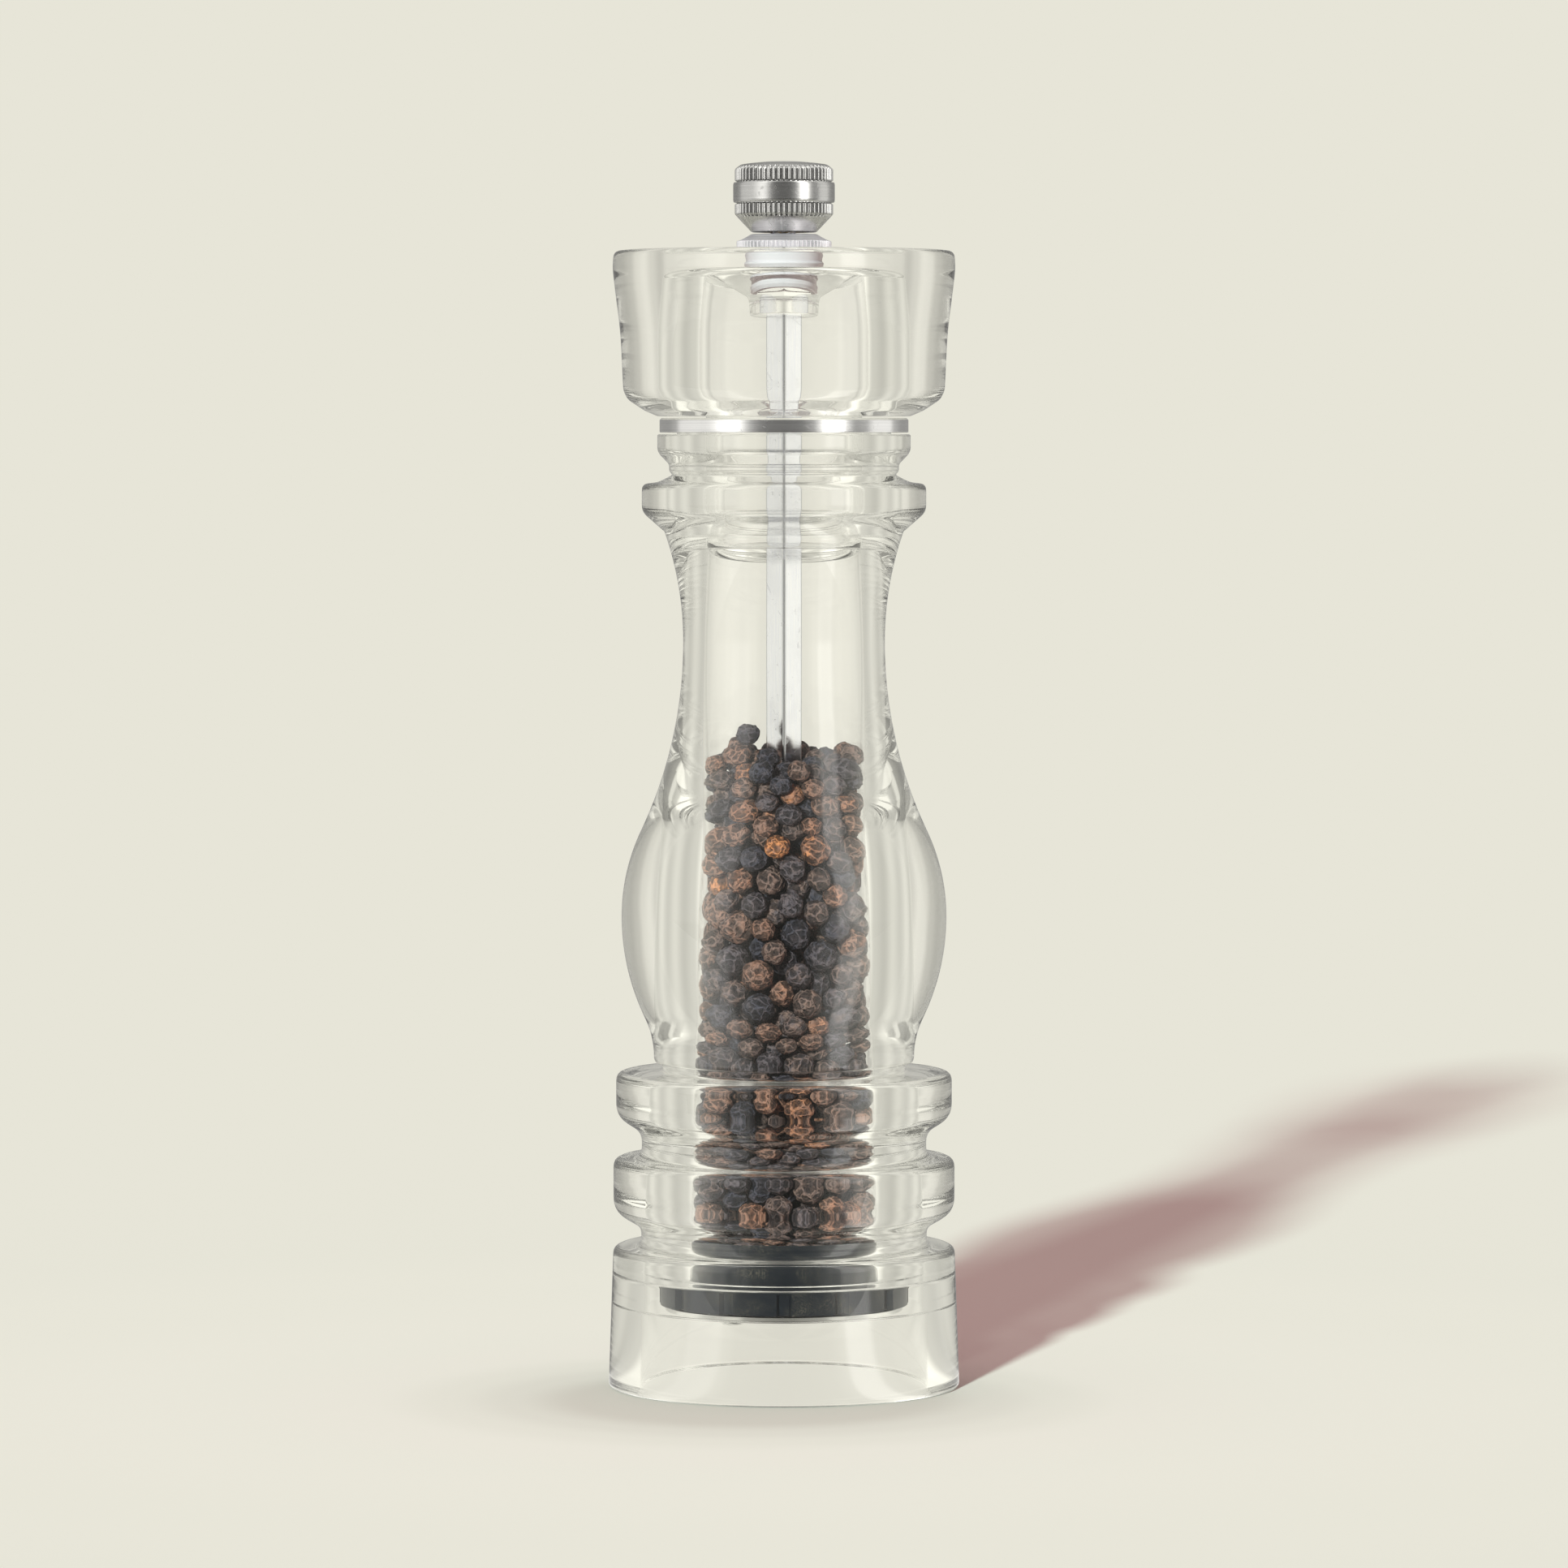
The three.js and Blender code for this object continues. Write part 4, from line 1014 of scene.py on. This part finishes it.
# %% Join and cut solids
def settle(piece):
    """Replaces a piece's mesh by what its modifiers make of it."""
    seen = piece.evaluated_get(bpy.context.evaluated_depsgraph_get())
    mesh = bpy.data.meshes.new_from_object(seen)
    piece.modifiers.clear()
    piece.data = mesh
    mesh.name = piece.name
    mesh.shade_smooth()
    mesh.set_sharp_from_angle(angle=math.radians(32))


def carve(piece, tools, operation):
    """Joins tools to a piece (UNION) or cuts them out of it (DIFFERENCE), and deletes the tools."""
    for tool in tools:
        step = piece.modifiers.new(tool.name, "BOOLEAN")
        step.operation = operation
        step.object = tool
        step.solver = "EXACT"
    settle(piece)
    for tool in tools:
        bpy.data.objects.remove(tool)
    return piece


def block(name, low, high, turn=0.0):
    """A box by two opposite corners in millimetres, turned about the Z axis."""
    corners = [(x, y, z) for x in (low[0], high[0]) for y in (low[1], high[1]) for z in (low[2], high[2])]
    c, s = math.cos(turn), math.sin(turn)
    points = [((c * x - s * y) * MM, (s * x + c * y) * MM, z * MM) for x, y, z in corners]
    faces = [(0, 1, 3, 2), (4, 6, 7, 5), (0, 4, 5, 1), (2, 3, 7, 6), (0, 2, 6, 4), (1, 5, 7, 3)]
    mesh = bpy.data.meshes.new(name)
    mesh.from_pydata(points, [], faces)
    piece = bpy.data.objects.new(name, mesh)
    scene.collection.objects.link(piece)
    return piece


# %% Housing
NOTCHES = 14
SEAM_ANGLE = math.asin(7.2 / 16.55)


def housing_wall(radius, height, turn):
    """Notches round the flange, and two mould seams up the front and back of the tube."""
    from_notch = np.abs(np.mod(turn + QUARTER + np.pi / NOTCHES, 2 * np.pi / NOTCHES) - np.pi / NOTCHES)
    notch = np.clip((0.052 - from_notch) / 0.014, 0, 1)
    in_flange = (radius > 21.9) & (height < 18.95)
    from_front = np.abs(np.abs(np.mod(turn, np.pi) - QUARTER) - SEAM_ANGLE)
    seam = np.clip(1 - from_front / 0.02, 0, 1)
    on_tube = (np.abs(radius - 16.55) < 0.01) & (height > 20)
    cut = np.where(in_flange, 0.85 * notch, 0) + np.where(on_tube, 0.2 * seam, 0)
    return radius - cut, turn


housing = turned("grinder_housing_piece", rounded([
    (13.9, 15.1, 0.15), (22.45, 15.1, 0.15), (22.45, 18.9), (22.45, 19.0), (22.45, 19.65, 0.15),
    (16.55, 19.65, 0.1), (16.55, 20.5), (16.55, 27.7), (16.35, 28, 0.05), (15.7, 28, 0.1),
    (11.6, 24.6, 0.15), (11.6, 23.9, 0.1), (13.9, 23.9, 0.1),
], steps=3), columns=336, shape=housing_wall)
hub = turned("hub", rounded([
    (5.75, 26, 0.1), (6.9, 26, 0.1), (6.9, 36.1, 0.3), (6.3, 37.7, 0.4), (5.3, 38.5, 0.25),
    (4.6, 38.5, 0.15), (4.6, 32, 0.1), (5.75, 32),
], steps=3), columns=96)
arms = [
    block(f"arm_{i}", (6.3, -1.6, 26.05), (16.0, 1.6, 28.6), (i + 0.5) * QUARTER) for i in range(4)
]
carve(housing, [hub, *arms], "UNION")
fit(housing, "body", "black_plastic", "grinder_housing")

# %% [markdown]
# ## The burrs
#
# Pepper is cracked between a fixed ring and a turning cone. The ring's hole widens downwards and is
# toothed all round. The cone has coarse slanting teeth at the top, which break the corns, and fine
# ones at the bottom, which grind them. The teeth are saw-shaped, steep on the side that cuts.

# %% Teeth as shapes
def saw(turn, count):
    """A saw wave round the axis, from -1 to 1, with a steep side."""
    phase = np.mod(turn * count / (2 * np.pi), 1)
    return np.where(phase < 0.8, phase / 0.4 - 1, 1 - (phase - 0.8) / 0.1)


def ring_teeth(radius, height, turn):
    """Eighteen upright teeth in the ring's hole."""
    return np.where(radius < 13.0, radius + 0.28 * saw(turn, 18), radius), turn


def cone_teeth(radius, height, turn):
    """Twelve coarse slanting teeth above and thirty-six fine ones below."""
    flank = (radius > 5.0) & (height < 24.61)
    coarse = np.clip((height - 16.5) / 1.5, 0, 1)
    tooth = 0.28 * coarse * saw(turn, 12) + 0.13 * (1 - coarse) * saw(turn, 36)
    radius = np.where(flank, radius + tooth, radius)
    on_hole = np.abs(radius - HOLE_HALF) < 1e-6
    slanted = np.where(flank, turn + 0.035 * (height - 15), turn)
    return np.where(on_hole, radius * square_reach(turn), radius), slanted


def rows(points, spacing=0.6):
    """A profile with extra points on its long straight runs."""
    dense = []
    for i, (r, z) in enumerate(points):
        r_next, z_next = points[(i + 1) % len(points)]
        count = max(1, int(math.hypot(r_next - r, z_next - z) / spacing))
        dense.extend((r + (r_next - r) * s / count, z + (z_next - z) * s / count) for s in range(count))
    return dense


# %% Ring and cone
burr_ring = turned("burr_ring_piece", rows([
    (13.55, 15.15), (13.6, 15.2), (13.6, 23.5), (13.5, 23.6), (10.95, 23.6), (10.9, 23.5),
    (11.55, 19.35), (12.2, 15.2), (12.3, 15.15),
]), columns=18 * 20, shape=ring_teeth)
fit(burr_ring, "body", "burr_steel", "burr_ring")

burr_cone = turned("burr_cone_piece", rows([
    (4.7, 15.0), (11.15, 15.0), (11.2, 15.1), (10.7, 16.6), (9.9, 18.6), (8.9, 20.4), (7.5, 22.6),
    (6.0, 24.5), (5.85, 24.6), (4.8, 24.62), (HOLE_HALF, 24.62), (HOLE_HALF, 17.2), (4.7, 17.2),
]), columns=36 * 10, shape=cone_teeth)
fit(burr_cone, "spindle", "burr_steel", "burr_cone")

# %% [markdown]
# ## Fixings under the mill
#
# A steel plate holds the burr ring up, with three small screws. A washer and a larger screw hold the
# cone on the shaft. Screws are turned first, and then a cross is cut into each head.

# %% Clamp plate
PLATE_SCREW_CIRCLE = 17.6
PLATE_SCREW_ANGLES = [i * 2 * math.pi / 3 for i in range(3)]
HOLE_PROFILE = [(0, 13), (1.1, 13), (1.1, 16), (0, 16)]


def moved(piece, angle, circle):
    """Shifts a piece's points out from the axis in a direction."""
    shift = Vector((math.cos(angle), math.sin(angle), 0)) * circle * MM
    for vertex in piece.data.vertices:
        vertex.co += shift
    return piece


plate = turned("clamp_plate_piece", rounded([
    (12.7, 14.0, 0.15), (21.5, 14.0, 0.15), (21.5, 14.8, 0.15), (12.7, 14.8, 0.15),
], steps=3), columns=160)
holes = [
    moved(turned(f"hole_{i}", HOLE_PROFILE, columns=32), angle, PLATE_SCREW_CIRCLE)
    for i, angle in enumerate(PLATE_SCREW_ANGLES)
]
carve(plate, holes, "DIFFERENCE")
fit(plate, "body", "polished_steel", "burr_clamp_plate")

# %% A pan-head screw with a cross recess
def pan_screw(name, head, shank, seat, tip, height):
    """A screw that points up, with its head's upper face at a height."""
    low = seat - height
    core = 0.8 * shank
    tooth = 0.2 * shank
    profile = [
        (0, low), (0.55 * head, low), (0.82 * head, low + 0.15 * height),
        (0.97 * head, low + 0.45 * height), (head, low + 0.7 * height), (head, seat), (core, seat),
        (core, seat + 0.2),
    ]
    turns = np.arange(seat + 0.3, tip - 0.5, 0.25)
    for i, z in enumerate(turns):
        profile.append((core + (tooth if i % 2 else 0), z))
    profile += [(0.5 * core, tip - 0.1), (0, tip)]
    screw = turned(name, profile, columns=48)
    long, half, depth = 0.55 * head, 0.14 * head, 0.6 * height
    start, end = (-long, -half, low - 1), (long, half, low + depth)
    cross = [block(f"{name}_slot_{i}", start, end, i * QUARTER) for i in range(2)]
    carve(cross[0], cross[1:], "UNION")
    return screw, cross[0]


# %% Screws and washers
for i, angle in enumerate(PLATE_SCREW_ANGLES):
    screw, cross = pan_screw(f"plate_screw_{i + 1}_piece", 2.0, 0.9, 13.7, 18.6, 0.9)
    moved(screw, angle, PLATE_SCREW_CIRCLE)
    moved(cross, angle, PLATE_SCREW_CIRCLE)
    carve(screw, [cross], "DIFFERENCE")
    fit(screw, "body", "polished_steel", f"plate_screw_{i + 1}")

screw, cross = pan_screw("cone_screw_piece", 2.6, 1.2, 16.1, 24.0, 1.2)
carve(screw, [cross], "DIFFERENCE")
fit(screw, "spindle", "satin_metal", "cone_screw")

washer = turned("cone_washer_piece", rounded([
    (1.4, 16.4, 0.1), (4.2, 16.4, 0.12), (4.2, 16.9, 0.12), (1.4, 16.9, 0.1),
], steps=3), columns=96)
fit(washer, "spindle", "polished_steel", "cone_washer")

seat = turned("spring_seat_piece", rounded([
    (3.6, 24.9, 0.08), (5.3, 24.9, 0.1), (5.3, 25.3, 0.1), (3.6, 25.3, 0.08),
], steps=3), columns=96)
fit(seat, "spindle", "polished_steel", "spring_seat")

# %% [markdown]
# ## The sleeve and the spring
#
# A white sleeve turns in the hub and lets the shaft slide through it. Between the sleeve and a seat on the
# cone a short coil spring pushes the cone down. Its end coils are wound close, as on any compression
# spring. The spring's top stays with the sleeve and its foot moves with the shaft. Here the spring is built
# once, in place, and rides neither body.

# %% Sleeve
sleeve = turned("drive_sleeve_piece", rounded([
    (HOLE_HALF, 30.85), (5.45, 30.85, 0.12), (5.45, 31.7, 0.12), (4.3, 31.7, 0.1), (4.3, 38.8, 0.1),
    (4.75, 38.8, 0.1), (4.0, 39.5, 0.25), (HOLE_HALF, 39.5),
], steps=3), columns=96, shape=square_bore(HOLE_HALF))
fit(sleeve, "drive", "white_plastic", "drive_sleeve")

# %% Spring
SPRING = {"radius": 4.7, "wire": 0.42, "turns": 4, "bottom": 26.08, "top": 30.05}


def spring_piece(name, steps_per_turn=48, sides=14):
    """A round wire wound up a helix, with closer coils at both ends and flat caps."""
    share = np.linspace(0, 1, SPRING["turns"] * steps_per_turn + 1)
    climb = share - 0.6 * np.sin(2 * np.pi * share) / (2 * np.pi)
    turn = share * SPRING["turns"] * 2 * np.pi
    height = SPRING["bottom"] + climb * (SPRING["top"] - SPRING["bottom"])
    around = np.arange(sides) * 2 * np.pi / sides
    reach = SPRING["radius"] + SPRING["wire"] * np.cos(around)[None, :]
    rise = height[:, None] + SPRING["wire"] * np.sin(around)[None, :]
    x = reach * np.cos(turn)[:, None]
    y = reach * np.sin(turn)[:, None]
    points = (np.stack([x, y, rise], axis=2).reshape(-1, 3) * MM).tolist()
    faces = []
    for i in range(len(share) - 1):
        for j in range(sides):
            k = (j + 1) % sides
            faces.append((i * sides + j, (i + 1) * sides + j, (i + 1) * sides + k, i * sides + k))
    last = (len(share) - 1) * sides
    faces += [tuple(range(sides)), tuple(range(last + sides - 1, last - 1, -1))]
    mesh = bpy.data.meshes.new(name)
    mesh.from_pydata(points, [], faces)
    mesh.shade_smooth()
    mesh.set_sharp_from_angle(angle=math.radians(40))
    piece = bpy.data.objects.new(name, mesh)
    scene.collection.objects.link(piece)
    return piece


spring = spring_piece("burr_spring_piece")
dress(spring, "satin_metal", "burr_spring")
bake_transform(spring)
print(spring.name, "-", len(spring.data.polygons), "faces")

# %% [markdown]
# ## Where the peppercorns lie
#
# Some hundreds of corns fill the chamber. A physics simulation could drop them, but it would be slow
# and hard to repeat exactly. So they are laid one at a time: for each corn many places are tried, the
# height at which it would come to rest on the others is worked out, and the lowest place wins. Many of
# the places tried are against the wall, because that is where the real corns show their layers.
# Every corn keeps clear of the shaft and the hub, and of the cone below. At the end one more corn is
# put on top of the heap, left of the shaft, at the highest place it can rest there.

# %% The space for the pepper
CHAMBER = {"top_radius": 13.85, "top": 151.7, "bottom_radius": 17.0, "bottom": 20.0}
SHAFT_CLEAR = 3.45
HUB_CLEAR = 6.95
HUB_TOP = 39.6
FUNNEL_BOTTOM = 24.9
FILL_LEVEL = 112.6


def chamber_radius(height):
    """The radius of the space for pepper, whose lowest part is the funnel of the housing."""
    share = (CHAMBER["top"] - height) / (CHAMBER["top"] - CHAMBER["bottom"])
    wall_radius = CHAMBER["top_radius"] + share * (CHAMBER["bottom_radius"] - CHAMBER["top_radius"])
    funnel = 11.6 + (height - 24.6) * (15.7 - 11.6) / (28.0 - 24.6)
    return np.where(height < 28.0, np.minimum(wall_radius, funnel - 0.8), wall_radius - 0.1)


# %% Lay the corns
TRIES = 700
random = np.random.default_rng(58)


def resting_height(x, y, size, laid):
    """How high a corn comes to rest at each place tried, on the corns laid so far or the floor."""
    height = np.full(len(x), FUNNEL_BOTTOM + size)
    reach = np.hypot(x, y)
    over_hub = reach < HUB_CLEAR + size
    on_hub = HUB_TOP + np.sqrt(np.maximum(0, size**2 - np.maximum(0, reach - 4.8) ** 2))
    height = np.where(over_hub, np.maximum(height, on_hub), height)
    arm_gap = np.abs(np.mod(np.arctan2(y, x), QUARTER) - QUARTER / 2) * reach - 1.6
    near_arm = arm_gap < size
    on_arm = 28.65 + np.sqrt(np.maximum(0, size**2 - np.maximum(0, arm_gap) ** 2))
    height = np.where(near_arm & ~over_hub, np.maximum(height, on_arm), height)
    if len(laid):
        gap = (size + laid[:, 3])[None, :] * 0.985
        flat = (x[:, None] - laid[None, :, 0]) ** 2 + (y[:, None] - laid[None, :, 1]) ** 2
        over = gap**2 - flat
        rest = np.where(over > 0, laid[None, :, 2] + np.sqrt(np.maximum(over, 0)), -np.inf)
        height = np.maximum(height, rest.max(axis=1))
    return height


laid = np.zeros((0, 4))
while True:
    size = float(np.clip(random.normal(2.17, 0.2), 1.7, 2.6))
    angle = random.uniform(0, 2 * np.pi, TRIES)
    level = laid[:, 2].max() if len(laid) else 30.0
    at_wall = random.random(TRIES) < 0.5
    widest = chamber_radius(np.full(TRIES, level)) - size
    narrowest = SHAFT_CLEAR + size
    inner = np.sqrt(random.uniform(narrowest**2, np.maximum(widest, narrowest + 0.1) ** 2))
    distance = np.where(at_wall, widest, inner)
    for _ in range(2):
        height = resting_height(distance * np.cos(angle), distance * np.sin(angle), size, laid)
        distance = np.where(at_wall, chamber_radius(height) - size, distance)
    height = resting_height(distance * np.cos(angle), distance * np.sin(angle), size, laid)
    fits = (distance <= chamber_radius(height) - size + 0.02) & (distance >= narrowest)
    best = int(np.argmin(np.where(fits, height, np.inf)))
    if height[best] > FILL_LEVEL:
        break
    x, y = distance[best] * math.cos(angle[best]), distance[best] * math.sin(angle[best])
    laid = np.vstack([laid, (x, y, height[best], size)])
print("peppercorns laid:", len(laid))

# %% One corn on top
TOP_CORN = 2.15
TOP_X, TOP_Y = np.meshgrid(np.linspace(-6.3, -5.3, 6), np.linspace(-5, 2, 15))

spot_x, spot_y = TOP_X.ravel(), TOP_Y.ravel()
height = resting_height(spot_x, spot_y, TOP_CORN, laid)
best = int(np.argmax(height))
laid = np.vstack([laid, (spot_x[best], spot_y[best], height[best], TOP_CORN)])
print("top corn at", round(float(height[best]), 1), "mm")

# %% [markdown]
# ## The shape of a peppercorn
#
# Each corn starts as a fine icosphere, slightly squashed. A net of ridges covers a real corn, with
# sunken cells between them. On a sphere the net can be had from scattered points: where a spot is
# almost equally near to its nearest and its second nearest point, it lies on a border, and borders
# become ridges. A coarse and a fine net are laid over each other, and the directions are bent first,
# so that the borders curve. Every corn gets its own points, and hidden corns get fewer faces.

# %% Unit spheres
import bmesh


def unit_sphere(detail):
    """The points and triangles of an icosphere."""
    maker = bmesh.new()
    bmesh.ops.create_icosphere(maker, subdivisions=detail, radius=1.0)
    points = np.array([vertex.co[:] for vertex in maker.verts])
    faces = np.array([[vertex.index for vertex in face.verts] for face in maker.faces])
    maker.free()
    return points, faces


fine_sphere = unit_sphere(4)
plain_sphere = unit_sphere(3)
print("faces on a fine corn:", len(fine_sphere[1]))

# %% One wrinkled corn
def net(directions, cells, width, twist):
    """How near each direction is to the border between two cells, on an uneven and twisted net."""
    seeds = random.normal(size=(cells, 3))
    seeds /= np.linalg.norm(seeds, axis=1)[:, None]
    bend = random.normal(0, 2.2, (3, 3))
    twisted = directions + twist * np.sin(directions @ bend + random.uniform(0, 6, 3))
    away = np.linalg.norm(twisted[:, None, :] - seeds[None, :, :], axis=2)
    away += random.uniform(0, 0.16, cells)[None, :]
    away.partition(1, axis=1)
    border = away[:, 1] - away[:, 0]
    return np.exp(-((border / width) ** 2))


def wrinkled(sphere, size):
    """A corn's points in millimetres about its own centre, and how far up a ridge each one is."""
    coarse = net(sphere, random.integers(14, 24), random.uniform(0.08, 0.12), 0.2)
    fine = net(sphere, 55, 0.07, 0.2)
    fade = 0.6 + 0.4 * np.sin(sphere @ random.normal(0, 2.0, 3) + random.uniform(0, 6))
    ridge = np.clip(coarse * (0.5 + 0.5 * fade) + 0.35 * fine, 0, 1)
    deep = random.uniform(0.1, 0.16)
    lumps = random.normal(size=(4, 3))
    swell = 1 + 0.035 * np.sin(2.2 * sphere @ lumps.T).sum(axis=1) / 2
    squash = 1 + random.normal(0, 0.03, 3)
    surface = (1 - deep + deep * ridge) * swell
    points = sphere * surface[:, None] * np.clip(squash, 0.93, 1.03)[None, :] * size
    return points, ridge


# %% Build the corns in batches
BATCH = 36
TONE_MIX = [0.32, 0.36, 0.22, 0.1]
TONE_SPANS = [(0.02, 0.28), (0.28, 0.52), (0.52, 0.76), (0.76, 0.93)]
ORANGE_SHARE = 0.02


def corn_batch(name, corns, sphere):
    """One mesh with many corns, each in its own place, with its ridges and its tone."""
    base, triangles = sphere
    points, faces, ridges, tones = [], [], [], []
    for i, (x, y, z, size) in enumerate(corns):
        shape, ridge = wrinkled(base, size)
        points.append((shape + (x, y, z)) * MM)
        faces.append(triangles + i * len(base))
        ridges.append(ridge)
        on_top = z > FILL_LEVEL  # the single corn on top is a dark one
        low, high = TONE_SPANS[0 if on_top else random.choice(4, p=TONE_MIX)]
        tone = 1.0 if random.random() < ORANGE_SHARE else random.uniform(low, high)
        tones.append(np.full(len(base), tone))
    mesh = bpy.data.meshes.new(name)
    mesh.from_pydata(np.concatenate(points).tolist(), [], np.concatenate(faces).tolist())
    for label, values in (("ridge", ridges), ("tone", tones)):
        layer = mesh.attributes.new(label, "FLOAT", "POINT")
        layer.data.foreach_set("value", np.concatenate(values).astype(np.float32))
    mesh.shade_smooth()
    piece = bpy.data.objects.new(name, mesh)
    scene.collection.objects.link(piece)
    fit(piece, "body", "peppercorn", "peppercorns")


outermost = chamber_radius(laid[:, 2]) - np.hypot(laid[:, 0], laid[:, 1]) - laid[:, 3]
seen = (outermost < 3.0) | (laid[:, 2] > FILL_LEVEL - 14)
outer, inner = laid[seen], laid[~seen]
outer = outer[np.argsort(outer[:, 2])]
print("corns in sight:", len(outer), "corns hidden:", len(inner))
for number, start in enumerate(range(0, len(outer), BATCH)):
    corn_batch(f"peppercorns_{number + 1:02d}", outer[start : start + BATCH], fine_sphere)
for number, start in enumerate(range(0, len(inner), 4 * BATCH)):
    corn_batch(f"peppercorns_inner_{number + 1}", inner[start : start + 4 * BATCH], plain_sphere)

# %% [markdown]
# ## Light through thick acrylic
#
# A view ray crosses four acrylic walls at the belly and more at the grooves, and is mirrored inside
# the beads several times before it gets out. The renderer gives up on a ray after some bounces and
# paints it black, so it is allowed enough of them.

# %% Bounces
scene.cycles.max_bounces = 28
scene.cycles.transmission_bounces = 24
scene.cycles.glossy_bounces = 12
scene.cycles.transparent_max_bounces = 32
print("bounces:", scene.cycles.max_bounces)
